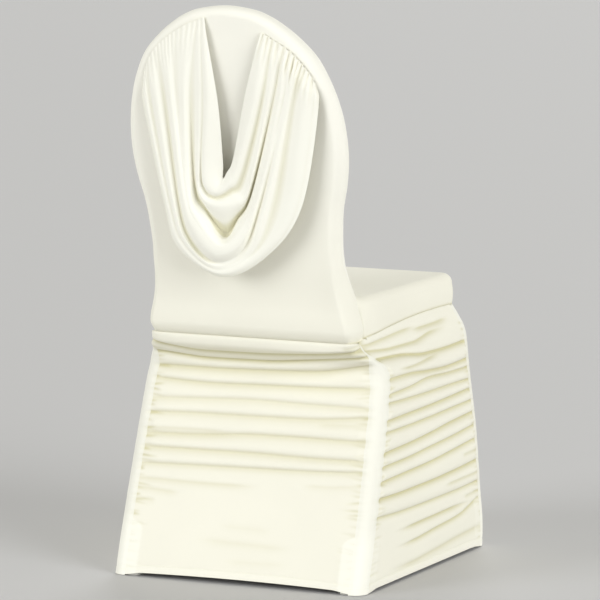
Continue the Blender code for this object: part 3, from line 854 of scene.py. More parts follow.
SIDE_CREASES = (
    Crease(0, 0.60, (380, 385, 389, 391), 3.0, 2.5, 6),
    Crease(0.45, 0.95, (386, 387, 391), 3.2, 2.5, 7),
    Crease(0, 0.90, (372, 368, 368, 376, 379), 3.6, 2.5, 6),
    Crease(0, 1, (357, 354, 346, 345, 347), 4.8, 2.5, 6),
    Crease(0.05, 0.72, (337, 334, 337, 341), 3.0, 2.5, 5),
    Crease(0, 1, (324, 323, 318, 315, 317), 4.0, 2.5, 6),
    Crease(0, 1, (300, 302, 307, 304, 303), 3.6, 2.5, 5),
    Crease(0, 1, (287, 285, 284, 284, 283), 3.6, 2.5, 5),
    Crease(0, 1, (260, 261, 262, 264, 267), 4.2, 2.5, 5.5),
    Crease(0, 1, (242, 242, 243, 245, 247), 3.8, 2.5, 5),
    Crease(0, 1, (211, 213, 217, 223, 227), 4.4, 2.5, 6),
    Crease(0, 1, (190, 191, 195, 199, 205), 4.0, 2.5, 5),
    Crease(0, 1, (167, 169, 171, 176, 182), 4.2, 2.5, 5.5),
    Crease(0.82, 1, (163, 165), 2.0, 2.5, 5),
    Crease(0, 1, (142, 140, 140, 142, 146), 4.6, 2.5, 6),
    Crease(0.62, 0.98, (125, 126, 127), 2.4, 2.5, 5),
    Crease(0, 1, (114, 110, 109, 109, 111), 3.4, 2.5, 5.5),
    Crease(0.84, 1, (93, 95), 1.8, 2.5, 5),
    Crease(0.16, 0.97, (80, 81, 82, 83, 82), 4.0, 2.5, 6),
    Crease(0.17, 1, (55, 56, 61, 66, 84), 3.8, 2.5, 6),
    Crease(0.12, 1, (22, 22, 26, 32, 36), 2.2, 4, 8),
)
FRONT_CREASES = (
    Crease(0, 1, (389, 386, 391), 2.4),
    Crease(0, 1, (368, 364, 366), 3.6),
    Crease(0, 1, (343, 347, 342), 3.4),
    Crease(0, 1, (321, 318, 324), 3.2),
    Crease(0, 1, (294, 297, 299), 3.6),
    Crease(0, 1, (272, 268, 274), 2.8),
    Crease(0, 1, (249, 251, 246), 3.2),
    Crease(0, 1, (222, 218, 224), 2.8),
    Crease(0, 1, (197, 199, 195), 2.8),
    Crease(0, 1, (171, 168, 174), 2.4),
    Crease(0, 0.62, (148, 150, 147), 2.0),
    Crease(0.44, 1, (139, 142, 146), 1.8),
    Crease(0, 0.5, (119, 117), 1.6),
    Crease(0.66, 1, (117, 121), 1.6),
    Crease(0.3, 0.8, (92, 90, 91), 0.7, 6, 9),
    Crease(0, 0.25, (90, 87), 1.2),
)


@dataclass(frozen=True)
class Puckers:
    """Short puckers along one seam, where the ruched panel is gathered on to its strip.

    Each strays up or down by a share of the pitch. Its length and depth are drawn in millimetres.
    """

    seed: int
    strength: float
    low: float = 18 * MM
    high: float = 378 * MM
    pitch: float = 8.5 * MM
    reach: float = 2.0 * MM
    stray: float = 0.4               # share of the pitch
    lengths: tuple[float, float] = (9, 34)
    depths: tuple[float, float] = (0.35, 1.15)
    slope: float = 0.16

    def field(self, away: Array, height: Array) -> Array:
        """How far in the puckers go, in metres.

        Args:
            away: distance from the seam.
            height: height of each place.

        Returns:
            The depth at each place.
        """
        draw = np.random.default_rng(self.seed)
        total = np.zeros(np.broadcast(away, height).shape)
        for middle in np.arange(self.low, self.high, self.pitch):
            spot = middle + draw.uniform(-self.stray, self.stray) * self.pitch
            length = draw.uniform(*self.lengths) * MM
            depth = draw.uniform(*self.depths) * MM * self.strength
            slope = draw.uniform(-self.slope, self.slope)
            shape = bell(height - spot - slope * away, self.reach)
            total += depth * shape * (1 - smooth_step(away / length))
        return total


@dataclass
class RuchedPanel:
    """A panel of the skirt, gathered on the strips at its two side seams.

    place gives the plain cloth's places and the way out from each, top the height of its top edge. hem is
    the height of its hem at the first edge, the middle and the last edge.
    """

    node: str
    place: Callable[[Array, Array], tuple[Array, Array]]
    form: CoverForm
    creases: tuple[Crease, ...]
    top: Callable[[Array], Array]
    hem: tuple[float, float, float]
    width: float
    puckers: tuple[Puckers, Puckers]
    flat: tuple[float, float]
    rests_on: tuple[str, ...]
    rows: int = 300
    columns: int = 92
    bunching: float = 0.55
    top_roll: float = 3.0 * MM       # the roll over the first long crease
    roll_gain: float = 1.6
    roll_turns: float = 0.7
    roll_reach: float = 90 * MM
    ridge_share: float = 0.15        # the ridges between the others
    ridge_most: float = 4.0 * MM
    ridge_skew: float = 1.3
    ridge_depth: float = 2.4
    seam_share: float = 0.45         # share of the relief that is left at the side seams
    seam_reach: float = 14 * MM
    waist_share: float = 0.2         # share of the rest that is left as well, near the waist
    waist_from: float = 345 * MM
    waist_reach: float = 18 * MM
    top_share: float = 0.15          # how far eased in the relief already is at the top edge
    top_reach: float = 4 * MM
    seam_groove: Groove = Groove(0.15 * MM, 2.0 * MM)
    top_groove: Groove = Groove(0.5 * MM, 1.8 * MM)
    hem_groove: Groove = Groove(0.5 * MM, 1.4 * MM)
    hem_stands: float = 0.5 * MM     # the turned-up hem stands out by this
    hem_turn: float = 1.5 * MM
    corner_reach: float = 30 * MM    # the hem falls to the corner over this way
    full_crease: float = 4.0         # a crease this deep has the whole painted shade of a fold
    full_pucker: float = 2.2 * MM
    # Painted shade in the creases: how narrowly it hugs each valley, and how much of it is painted.
    tint_edge: float = 1.7
    tint: float = 0.8
    hem_shows: float = 0.4           # how much lighter hem and pocket look, and how softly they end
    hem_soft: float = 2 * MM
    pocket_shows: float = 1.0
    pocket_soft: float = 9 * MM
    pocket_edge: tuple[float, float] = (1.3, 0.6)

    def heights(self, along: Array) -> Array:
        """Heights of the grid's rows, which run with the long creases.

        Args:
            along: the columns' places.

        Returns:
            Heights, row by column, from the top down to the hem.
        """
        long_ones = [crease.height(along) for crease in self.creases if crease.whole]
        lines = np.array([self.top(along), *long_ones, self.hem_height(along)])
        marks = -lines.mean(axis=1)
        wanted = np.linspace(marks[0], marks[-1], self.rows)
        return np.stack([np.interp(wanted, marks, column) for column in lines.T], axis=1)

    def seams_away(self, along: Array) -> tuple[Array, Array]:
        """Distance from the first and from the last seam."""
        return along * self.width, (1 - along) * self.width

    def hem_height(self, along: Array) -> Array:
        """Height of the hem, which is lowest at the corners."""
        near = np.minimum(*self.seams_away(along))
        return through_three(self.hem, along) + HEM_LIFT * smooth_step(near / self.corner_reach)

    def roll(self, share: Array, near: Array) -> Array:
        """How far the roll over the first long crease stands out, fullest low down, none at the seams."""
        turned = smooth_step((share - self.roll_turns) / (1 - self.roll_turns))
        return self.top_roll * smooth_step(near / self.roll_reach) * self.roll_gain * share * (1 - turned)

    def ridge(self, share: Array, gap: Array, depth: float) -> Array:
        """How far the cloth between two long creases stands out, less over a shallow one."""
        most = np.minimum(self.ridge_most, gap * self.ridge_share) * min(1.0, depth / self.ridge_depth)
        return most * np.sin(math.pi * share**self.ridge_skew)

    def relief(self, along: Array, height: Array) -> tuple[Array, Array]:
        """How far the cloth stands out, and the painted shade of the fold it lies in.

        Args:
            along: places along the panel.
            height: their heights.

        Returns:
            The way out in metres, and the painted shade of the folds, 0 to 1.
        """
        out = np.zeros(np.broadcast(along, height).shape)
        deep = np.zeros_like(out)
        top = self.top(along)
        away = self.seams_away(along)
        near = np.minimum(*away)
        above, first = top, True
        for crease in self.creases:
            felt = crease.field(along, height)
            out -= crease.depth * MM * felt
            # Painted shade: each crease and pucker darkens the cloth towards olive by its depth.
            deep += crease.depth / self.full_crease * felt**self.tint_edge
            if crease.whole:
                low = crease.height(along)
                gap = np.maximum(above - low, LEAST_GAP)
                share = np.clip((above - height) / gap, 0, 1)
                out += self.roll(share, near) if first else self.ridge(share, gap, crease.depth)
                above, first = low, False
        for puckers, from_seam in zip(self.puckers, away):
            felt = puckers.field(from_seam, height)
            out -= felt
            deep += felt / self.full_pucker
        by_waist = self.waist_share * smooth_step((height - self.waist_from) / self.waist_reach)
        held = self.seam_share + (1 - self.seam_share) * by_waist
        out *= held + (1 - held) * smooth_step(near / self.seam_reach)
        out -= self.seam_groove.field(near)
        out *= smooth_step((top - height) / self.top_reach + self.top_share)
        out -= self.top_groove.field(top - height)
        over_hem = height - self.hem_height(along) - HEM_HEIGHT
        out += self.hem_stands * smooth_step(-over_hem / self.hem_turn)
        out -= self.hem_groove.field(over_hem)
        return out, np.clip(deep, 0, 1) * self.tint

    def double_cloth(self, along: Array, height: Array) -> Array:
        """Where the turned-up hem or a foot pocket behind makes the cloth lighter, 0 to 1."""
        hem = smooth_step((HEM_HEIGHT - height + self.hem_height(along)) / self.hem_soft)
        near = np.minimum(*self.seams_away(along))
        inner = POCKET_SIZE + POCKET_INSET - LEG_ROUND - STRIP_LEG
        soft = self.pocket_soft
        away = np.maximum(near - inner + soft, 0) / soft
        up = np.maximum(height - POCKET_HEIGHT + POCKET_DIP * near / POCKET_SIZE + soft, 0) / soft
        edge, fade = self.pocket_edge
        pocket = smooth_step((edge - np.hypot(away, up)) / fade) * self.pocket_shows
        return np.maximum(hem * self.hem_shows, pocket)

    def build(self) -> tuple[Piece, Array]:
        """Make the panel.

        Returns:
            The piece, and its places row by column, for what is sewn along it.
        """
        along = bunched_ends(self.columns, self.bunching)[None, :]
        height = self.heights(along[0])
        along = np.broadcast_to(along, height.shape)
        out, deep = self.relief(along, height)
        places, ways = self.place(along, height)
        points = self.form.pinched(places + out[..., None] * ways)
        # Painted shade: the creases' shade, and more round the pinches.
        deep = np.maximum(deep, self.form.pinch_tint(places))
        flat = np.stack((along * self.width, height), axis=-1)
        surface = Surface.from_grid(points, flat, deep, self.double_cloth(along, height))
        surface.turn_in(surface.grids[0][0], -2 * ALLOWANCE * ways[0])
        shape = surface.build("cloth_" + self.node, IVORY, INSIDE_SKIRT)
        return Piece(shape, self.node, IVORY.slot, self.flat, Hold.GATHERED, self.rests_on), points


@dataclass
class Skirt:
    """The four ruched panels."""

    form: CoverForm
    back_hem: tuple[float, float, float] = (2.5 * MM, 6.0 * MM, 3.0 * MM)
    front_hem: tuple[float, float, float] = (2.5 * MM, 4.0 * MM, 2.5 * MM)
    side_hem: tuple[float, float, float] = (2.0 * MM, 2.0 * MM, 2.0 * MM)
    face_width: float = 385 * MM
    side_width: float = 395 * MM
    waist_roll: float = 6.0 * MM
    most_lift: float = 2.5           # how far the left side's creases differ from the right side's
    most_tilt: float = 2.0
    depth_gains: tuple[float, float] = (0.8, 1.15)
    panels: dict[str, RuchedPanel] = field(default_factory=dict)
    places: dict[str, Array] = field(default_factory=dict)

    def __post_init__(self) -> None:
        """Set out the four panels."""
        form = self.form
        for end, creases, top, hem, puckers, height, above, roll in (
                (End.BACK, BACK_CREASES, WAIST, self.back_hem, (Puckers(11, 1.7), Puckers(12, 1.1)),
                 0.45, "cloth_hood_rear_panel", self.waist_roll),
                (End.FRONT, FRONT_CREASES, FRONT_TOP, self.front_hem, (Puckers(13, 1.0), Puckers(14, 1.0)),
                 0.46, "cloth_seat_panel", RuchedPanel.top_roll)):
            self.panels[end.word] = RuchedPanel(
                "skirt_" + end.word, lambda a, h, e=end: form.face_place(e, a, h), form, creases,
                lambda a, t=top: np.full_like(a, t), hem, self.face_width, puckers, (0.39, height),
                (above, f"cloth_corner_strip_{end.word}_left"), top_roll=roll)
        for side, seed in ((Side.LEFT, 21), (Side.RIGHT, 31)):
            creases = SIDE_CREASES if side is Side.RIGHT else self.varied(SIDE_CREASES, seed)
            self.panels[side.word] = RuchedPanel(
                "skirt_" + side.word, lambda a, h, s=side: form.side_place(s, a, h), form,
                creases, form.side_top, self.side_hem, self.side_width,
                (Puckers(seed + 1, 1.2), Puckers(seed + 2, 1.2)),
                (0.43, 0.46), ("cloth_seat_panel", "cloth_corner_strip_back_" + side.word),
                seam_share=0.2, seam_reach=9 * MM, pocket_shows=0.4, tint=0.85)

    def varied(self, creases: tuple[Crease, ...], seed: int) -> tuple[Crease, ...]:
        """The same run of creases with each one a little higher, lower, deeper or flatter."""
        draw = np.random.default_rng(seed)
        rows = []
        for crease in creases:
            lift = draw.uniform(-self.most_lift, self.most_lift)
            tilt = draw.uniform(-self.most_tilt, self.most_tilt)
            middle = (len(crease.heights) - 1) / 2
            heights = tuple(height + lift + tilt * (i - middle) / middle
                            for i, height in enumerate(crease.heights))
            rows.append(replace(crease, heights=heights,
                                depth=crease.depth * draw.uniform(*self.depth_gains)))
        return tuple(rows)

    def build(self) -> list[Piece]:
        """Make the four panels."""
        pieces = []
        for word, panel in self.panels.items():
            piece, self.places[word] = panel.build()
            pieces.append(piece)
        return pieces


@dataclass
class CornerStrips:
    """The plain strips over the four legs."""

    form: CoverForm
    skirt: Skirt
    rows: int = 210
    columns: int = 22
    bunching: float = 0.3
    edge_reach: float = 9.0 * MM     # the panels' creases die out over this way
    edge_fall: float = 1.3
    # share of the panels' painted crease shade carried on to the strip
    fold_share: float = 0.5
    hem_groove: Groove = Groove(0.4 * MM, 1.4 * MM)
    pocket_soft: float = 40 * MM
    back_top: float = 385.0 * MM
    front_top: float = 405.0 * MM
    foot: float = 1.0 * MM           # height of the lower edge
    places: dict[tuple[Side, End], Array] = field(default_factory=dict)

    def strip(self, side: Side, end: End) -> Piece:
        """Make one strip.

        Args:
            side: its side.
            end: its end.

        Returns:
            The piece.
        """
        length = 2 * STRIP_LEG + LEG_ROUND * math.pi / 2
        top = self.back_top if end is End.BACK else self.front_top
        share, height = np.meshgrid(bunched_ends(self.columns, self.bunching),
                                    np.linspace(top, self.foot, self.rows))
        begin = self.form.seam_run(end, height)
        run = begin + (length - begin) * share
        points, out = self.form.corner(side.value, end, run, height)
        rise, deep = 0.0, 0.0
        # The panels' relief, and their painted crease shade, run on to the strip and die out.
        for word, first, away, near in (
                (end.word, side is Side.LEFT, run - begin, 1 - smooth_step(share)),
                (side.word, end is End.BACK, length - run, smooth_step(share))):
            seam = np.full_like(height[:, :1], 0.0 if first else 1.0)
            edge, fold = self.skirt.panels[word].relief(seam, height[:, :1])
            felt = np.exp(-(away / self.edge_reach) ** self.edge_fall) * near
            rise, deep = rise + edge * felt, deep + fold * felt
        deep = np.maximum(np.clip(deep, 0, 1) * self.fold_share, self.form.pinch_tint(points))
        rise = rise - self.hem_groove.field(height - self.foot - HEM_HEIGHT)
        pocket = smooth_step((POCKET_HEIGHT - height) / self.pocket_soft + 0.5)
        points = self.form.pinched(points + rise[..., None] * out)
        name = f"corner_strip_{end.word}_{side.word}"
        surface = Surface.from_grid(points, np.stack((run, height), axis=-1), deep, pocket)
        surface.turn_in(surface.grids[0][0], -2 * ALLOWANCE * out[0])
        shape = surface.build("cloth_" + name, STRIP_DOUBLE_AND_HIGHLIGHT, INSIDE_SKIRT)
        self.places[side, end] = points
        above = "cloth_hood_rear_panel" if end is End.BACK else "cloth_seat_panel"
        return Piece(shape, name, STRIP_DOUBLE_AND_HIGHLIGHT.slot, (length, top), Hold.STRETCHED, (above,))

    def build(self) -> list[Piece]:
        """Make the four strips."""
        return [self.strip(side, end) for side in Side for end in End]


@dataclass
class FootPockets:
    """The pockets inside the corners of the hem that take the chair's feet."""

    form: CoverForm
    rows: int = 18
    corner_steps: int = 8
    run_steps: int = 6
    floor_shares: tuple[float, ...] = (0.0, 0.35, 0.7, 0.92)    # from the floor's middle to its edge

    def ring(self, side: Side, end: End, height: float) -> Array:
        """Outline of one pocket at a height, a square whose outer corner follows the skirt's."""
        half = float(self.form.skirt_half(end, height)) - POCKET_INSET
        depth = float(self.form.skirt_depth(end, height)) - POCKET_INSET
        corners = (
            (half, depth, LEG_ROUND - POCKET_INSET, 0),
            (half, depth - POCKET_SIZE, POCKET_ROUND, -90),
            (half - POCKET_SIZE, depth - POCKET_SIZE, POCKET_ROUND, -180),
            (half - POCKET_SIZE, depth, POCKET_ROUND, -270),
        )
        outline = []
        for x, y, rounding, start in corners:
            sign_x = 1 if start in (0, -90) else -1
            sign_y = 1 if start in (0, -270) else -1
            for share in np.linspace(90, 0, self.corner_steps):
                turn = math.radians(start + share)
                outline.append((x - sign_x * rounding + rounding * math.cos(turn),
                                y - sign_y * rounding + rounding * math.sin(turn)))
        outline.append(outline[0])
        full = []
        for start, stop in zip(outline, outline[1:]):
            way = stop[0] - start[0], stop[1] - start[1]
            steps = self.run_steps if math.hypot(*way) > POCKET_ROUND / 2 else 1
            full += [(start[0] + way[0] * share, start[1] + way[1] * share)
                     for share in np.arange(steps) / steps]
        return np.array([(side.value * x, end.value * y + self.form.shift, height) for x, y in full])

    def pocket(self, side: Side, end: End) -> Piece:
        """Make one pocket, with a flat floor and an open top.

        Args:
            side: its side.
            end: its end.

        Returns:
            The piece.
        """
        base = self.ring(side, end, 0.0)
        outer = base[self.corner_steps // 2]
        away = np.linalg.norm(base - outer, axis=1) / (POCKET_SIZE * math.sqrt(2))
        rows = []
        for share in np.linspace(0.0, 1.0, self.rows):
            heights = share * (POCKET_HEIGHT - POCKET_DIP * away)
            rows.append([self.ring(side, end, height)[i] for i, height in enumerate(heights)])
        walls = np.array(rows)
        middle = base.mean(axis=0)
        floor = [middle + (base - middle) * share for share in self.floor_shares]
        points = np.concatenate((np.array(floor), walls))
        count = len(base)
        grid = np.arange(points.shape[0] * count).reshape(-1, count)
        grid[0] = grid[0, 0]
        grid = np.concatenate((grid, grid[:, :1]), axis=1)
        flat = np.stack((points[..., 0] + points[..., 1], points[..., 2]), axis=-1)
        surface = Surface(points.reshape(-1, 3), flat.reshape(-1, 2), [grid])
        name = f"foot_pocket_{end.word}_{side.word}"
        inside = (float(middle[0]), float(middle[1]), POCKET_HEIGHT / 2)
        shape = surface.build("cloth_" + name, POCKET, inside)
        cut = (4 * POCKET_SIZE, POCKET_HEIGHT)
        return Piece(shape, name, POCKET.slot, cut, Hold.STRETCHED,
                     (f"cloth_corner_strip_{end.word}_{side.word}",))

    def build(self) -> list[Piece]:
        """Make the four pockets."""
        return [self.pocket(side, end) for side in Side for end in End]


# Hood
@dataclass(frozen=True)
class Wave:
    """An unevenness of the cloth: its height, and its way up and across the panel to each radian."""

    height: float
    up: float
    across: float


@dataclass
class Hood:
    """The hood's rear and front panels, over the chair's back."""

    form: CoverForm
    outline_steps: int = 120
    rings: int = 16
    columns: int = 56
    seam_half: float = 0.05 * MM          # half the gap between the two panels
    seam_groove: Groove = Groove(0.4 * MM, 2.5 * MM)
    row_room: float = 5 * MM              # least way from the lower edge to the next row
    foot_from: float = 404 * MM           # the rear panel turns under from here down
    foot_height: float = 17.5 * MM
    foot_turn: float = 2.5
    foot_inwards: float = 2.5 * MM
    foot_forwards: float = 1.2 * MM
    foot_sides: tuple[float, float] = (120 * MM, 60 * MM)
    wave_gain: float = 0.6                # unevenness of the stretched cloth, and where it is calm
    waves: tuple[Wave, ...] = (Wave(0.9 * MM, 41 * MM, 120 * MM), Wave(0.6 * MM, 150 * MM, 33 * MM))
    rear_phase: float = 0.7
    front_phase: float = 2.0
    calm_edge: float = 30 * MM
    calm_foot: tuple[float, float] = (400 * MM, 40 * MM)
    calm_top: float = 60 * MM
    tint_under: tuple[float, float] = (0.12, 15 * MM)                   # painted shade where the panel turns under, and its reach
    tint_low: tuple[float, float, float] = (0.2, 720 * MM, 320 * MM)    # painted shade down the lower hood, which faces down: share, where from, and reach
    pinch_tint_reach: float = 8 * MM

    def outline(self, lowest: float) -> Array:
        """The hood's outline above a height, from its left foot over the top to its right foot."""
        half = [(float(self.form.hood_half(lowest)), lowest)]
        half += [(row.half * MM, row.height * MM) for row in HOOD_ROWS
                 if row.height * MM > lowest + self.row_room]
        line = np.array(half + [(-x, z) for x, z in reversed(half[:-1])])
        return spread_evenly(smooth_rows(line, CURVE_STEPS), 2 * self.outline_steps + 1)

    @staticmethod
    def inward(outline: Array) -> Array:
        """The way in from the hood's outline, in its own plane, which for the seat's is the way out."""
        along = np.gradient(outline, axis=0)
        along /= np.linalg.norm(along, axis=1, keepdims=True)
        way = np.stack((-along[:, 1], along[:, 0]), axis=1)
        way[0], way[-1] = (-1, 0), (1, 0)
        return way

    def panel(self, name: str, lowest: float, rear: bool, cut: tuple[float, float], area: float,
              rests_on: tuple[str, ...]) -> Piece:
        """Make one panel: rings round its rolled edge, and rows across between them.

        Args:
            name: its node.
            lowest: height of its lower edge.
            rear: whether it is the rear panel.
            cut: size of the cut cloth.
            area: its flat area.
            rests_on: what it hangs from.

        Returns:
            The piece.
        """
        form = self.form
        way = 1 if rear else -1
        outline = self.outline(lowest)
        inward = self.inward(outline)
        count = len(outline)
        turns = np.linspace(0, math.pi / 2, self.rings)
        levels = outline[:, 1]
        seam = self.seam_half - way * form.seam_depth(levels)
        points, flat = [], []
        for turn in turns:
            spot = outline + inward * BACK_EDGE_ROLL * (1 - math.cos(turn))
            dip = self.seam_groove.field(turn * BACK_EDGE_ROLL)
            depth = seam + (BACK_THICKNESS / 2 - seam) * math.sin(turn)
            y = form.hood_rear(spot[:, 1]) - BACK_THICKNESS / 2 + way * depth + form.shift
            spot = spot + inward * dip
            points.append(np.stack((spot[:, 0], y, spot[:, 1]), axis=1))
            flat.append(outline + inward * (BACK_EDGE_ROLL - (math.pi / 2 - turn) * BACK_THICKNESS / 2))
        rings = np.arange(self.rings * count).reshape(self.rings, count)
        top = self.outline_steps
        across, ladder = rows_across(points[-1], rings[-1], top, self.columns)
        apex = np.full((1, self.columns + 1), rings[-1][top])
        ladder = np.concatenate((ladder, apex))
        across[..., 1] += way * self.soft_waves(across[..., 0], across[..., 2], rear)
        all_points = form.pinched(np.concatenate((np.concatenate(points), across.reshape(-1, 3))))
        self.turn_under(all_points)
        all_flat = np.concatenate((np.concatenate(flat), across[..., (0, 2)].reshape(-1, 2)))
        surface = Surface(all_points, all_flat, [rings, ladder])
        # Painted shade on the rear panel's lower part and round the pinches.
        surface.fold = self.fold_depth(all_points, rear)
        foot_line = np.concatenate((rings[:, 0], ladder[0, 1:-1], rings[::-1, -1]))
        inwards = np.clip(-all_points[foot_line, 0], -ALLOWANCE, ALLOWANCE)
        surface.turn_in(foot_line, np.stack((inwards, 0 * inwards - way * ALLOWANCE, 0 * inwards), axis=1))
        shape = surface.build("cloth_" + name, LIT_HOOD_IVORY,
                              (0, form.hood_rear(HOOD_MIDDLE) + form.shift - way, HOOD_MIDDLE))
        return Piece(shape, name, LIT_HOOD_IVORY.slot, cut, Hold.STRETCHED, rests_on, area)

    def turn_under(self, points: Array) -> None:
        """Move the cloth's foot forwards, and its sides in, where it turns under at the waist."""
        foot = np.clip((self.foot_from - points[:, 2]) / self.foot_height, 0, 1) ** self.foot_turn
        first, reach = self.foot_sides
        by_side = smooth_step((np.abs(points[:, 0]) - first) / reach)
        points[:, 0] -= np.sign(points[:, 0]) * foot * self.foot_inwards * by_side
        points[:, 1] -= foot * self.foot_forwards

    def soft_waves(self, across: Array, height: Array, rear: bool) -> Array:
        """Slight unevenness of the stretched cloth, none at the panel's edges."""
        inside = self.form.hood_half(height) - BACK_EDGE_ROLL - np.abs(across)
        foot, reach = self.calm_foot
        calm = smooth_step(inside / self.calm_edge) * smooth_step((height - foot) / reach)
        calm = calm * smooth_step((HOOD_TOP - BACK_EDGE_ROLL - height) / self.calm_top)
        phases = (self.rear_phase if rear else self.front_phase, 0.0)
        total = sum(wave.height * np.sin(height / wave.up + across / wave.across + phase)
                    for wave, phase in zip(self.waves, phases))
        return total * calm * self.wave_gain

    def fold_depth(self, points: Array, rear: bool) -> Array:
        """Painted shade on the rear panel, darker towards its lower edge, which faces down and turns under at
        the waist, and round each pinch.
        """
        if not rear:
            return np.zeros(len(points))
        most, reach = self.tint_under
        under = most * smooth_step((self.foot_from - points[:, 2]) / reach)
        most, first, reach = self.tint_low
        under = under + most * smooth_step((first - points[:, 2]) / reach)
        return np.maximum(under, self.form.pinch_tint(points, self.pinch_tint_reach))

    def build(self) -> list[Piece]:
        """Make the two panels."""
        return [
            self.panel("hood_rear_panel", HOOD_ROWS[0].height * MM, rear=True, cut=(0.44, 0.56),
                       area=0.205, rests_on=("cloth_hood_front_panel",)),
            self.panel("hood_front_panel", SEAT_HEIGHT, rear=False, cut=(0.43, 0.48),
                       area=0.175, rests_on=("cloth_seat_panel",)),
        ]


@dataclass
class Seat:
    """The seat's smooth top with its turned-down band."""

    form: CoverForm
    side_places: tuple[float, ...] = (138, 110, 60, 0, -60, -120, -168)
    drawn_in: float = 4.0 * MM       # narrower by this just before the hood
    rear_roll: float = 0.3
    crown: float = 1.0 * MM          # the top is this much higher in its middle
    side_steps: int = 70
    corner_steps: int = 16
    columns: int = 64
    band_rows: int = 14
    roll_rows: int = 12
    outline_curve: int = 10
    rear_room: float = 0.1 * MM      # gap at the seam with the hood
    band_swell: float = 1.6 * MM     # the band bulges outwards by this, half way up
    flat_fall: float = 0.7
    # painted shade along the band's seam: its share and reach
    seam_tint: Groove = Groove(0.6, 2.5 * MM)
    dart_y: float = -157 * MM
    dart: Groove = Groove(1.1 * MM, 1.8 * MM)
    dart_side: float = 10 * MM
    dart_below: float = 2 * MM
    dart_reach: float = 14 * MM
    seam_line: Array | None = None

    def side_line(self, height: float) -> Array:
        """One side of the seat's outline, from its rear end to the end of the front corner's rounding."""
        form = self.form
        rear = float(form.hood_rear(height) - BACK_THICKNESS / 2 - form.seam_depth(height)) - self.rear_room
        line = [(float(form.hood_half(height)), rear)]
        for place in self.side_places:
            y = place * MM
            along = (SEAT_REAR - y) / (SEAT_REAR + SEAT_FRONT)
            line.append((SEAT_HALF_REAR + (SEAT_HALF_FRONT - SEAT_HALF_REAR) * along, y))
        line[1] = (line[1][0] - self.drawn_in, line[1][1])
        straight = spread_evenly(smooth_rows(np.array(line), self.outline_curve), self.side_steps)
        turn = np.linspace(0, math.pi / 2, self.corner_steps)[1:]
        corner = np.stack((SEAT_HALF_FRONT - SEAT_CORNER * (1 - np.cos(turn)),
                           -SEAT_FRONT + SEAT_CORNER * (1 - np.sin(turn))), axis=1)
        return np.concatenate((straight, corner))

    def outline(self, height: float) -> Array:
        """The whole outline at a height, from the left rear end round the front."""
        left = self.side_line(height)
        right = left[::-1] * (-1, 1)
        shares = np.linspace(0, 1, self.columns + 1)[1:-1, None]
        front = left[-1] + (right[0] - left[-1]) * shares
        return np.concatenate((left, front, right))

    def build(self) -> list[Piece]:
        """Make the seat panel: the band's rings, the rolled edge, and the top's rows."""
        form = self.form
        roll_from = SEAT_HEIGHT - SEAT_EDGE_ROLL
        rear_seam = float(form.band_seam_height(np.array(SEAT_REAR)))
        points = []
        for share in np.linspace(0, 1, self.band_rows):
            line = self.outline(rear_seam * (1 - share) + roll_from * share)
            seam = form.band_seam_height(line[:, 1])
            line = line + Hood.inward(line) * self.band_swell * math.sin(math.pi * share)
            points.append(np.column_stack((line, seam + (roll_from - seam) * share)))
        edge = self.outline(SEAT_HEIGHT)
        way = -Hood.inward(edge)
        way[0], way[-1] = (-self.rear_roll, 0), (self.rear_roll, 0)
        for turn in np.linspace(0, math.pi / 2, self.roll_rows)[1:]:
            line = edge + way * SEAT_EDGE_ROLL * (1 - math.cos(turn))
            level = roll_from + SEAT_EDGE_ROLL * math.sin(turn)
            points.append(np.column_stack((line, np.full(len(line), level))))
        turned_in = points[0].copy()
        turned_in[:, :2] -= Hood.inward(turned_in[:, :2]) * ALLOWANCE
        rings = np.array([turned_in] + points)
        self.cut_darts(rings)
        count = rings.shape[1]
        ring_grid = np.arange(rings.shape[0] * count).reshape(-1, count)
        rows = self.side_steps + self.corner_steps - 1
        top, grid = rows_across(rings[-1], ring_grid[-1], rows - 1, self.columns)
        grid = np.concatenate((grid, ring_grid[-1][None, rows - 1:rows + self.columns]))
        down, across = [np.sin(np.linspace(0, math.pi, size + 2)[1:-1]) for size in top.shape[:2]]
        rise = down[:, None] * across
        top[..., 2] += self.crown * rise
        self.seam_line = rings[1] + (0, form.shift, 0)
        places = form.pinched(np.concatenate((rings.reshape(-1, 3), top.reshape(-1, 3)))
                              + (0, form.shift, 0))
        flat = places[:, :2].copy()
        flat[:ring_grid.size] += (places[:ring_grid.size, 2:3] - SEAT_HEIGHT) * self.flat_fall
        surface = Surface(places, flat, [ring_grid, grid])
        # Painted shade along the band's seam and round the pinches.
        over_seam = places[:, 2] - form.band_seam_height(places[:, 1] - form.shift)
        surface.fold = np.maximum(self.seam_tint.field(over_seam), form.pinch_tint(places))
        for end_line, way_in in ((ring_grid[:, 0], -ALLOWANCE), (ring_grid[:, -1], ALLOWANCE)):
            surface.turn_in(end_line, np.array((way_in, 0, 0)))
        shape = surface.build("cloth_seat_panel", IVORY, INSIDE_BAND)
        return [Piece(shape, "seat_panel", IVORY.slot, flat=(0.49, 0.41), hold=Hold.STRETCHED,
                      rests_on=("cloth_hood_front_panel",))]

    def cut_darts(self, rings: Array) -> None:
        """Pull a fine groove into the band where each front corner is darted."""
        for sign in (1, -1):
            at_side = np.abs(rings[..., 0]) > SEAT_HALF_REAR - self.dart_side
            here = (np.sign(rings[..., 0]) == sign) & at_side
            dip = self.dart.field(rings[..., 1] - self.dart_y) * here
            low = smooth_step((SEAT_HEIGHT - self.dart_below - rings[..., 2]) / self.dart_reach)
            rings[..., 0] -= sign * dip * low


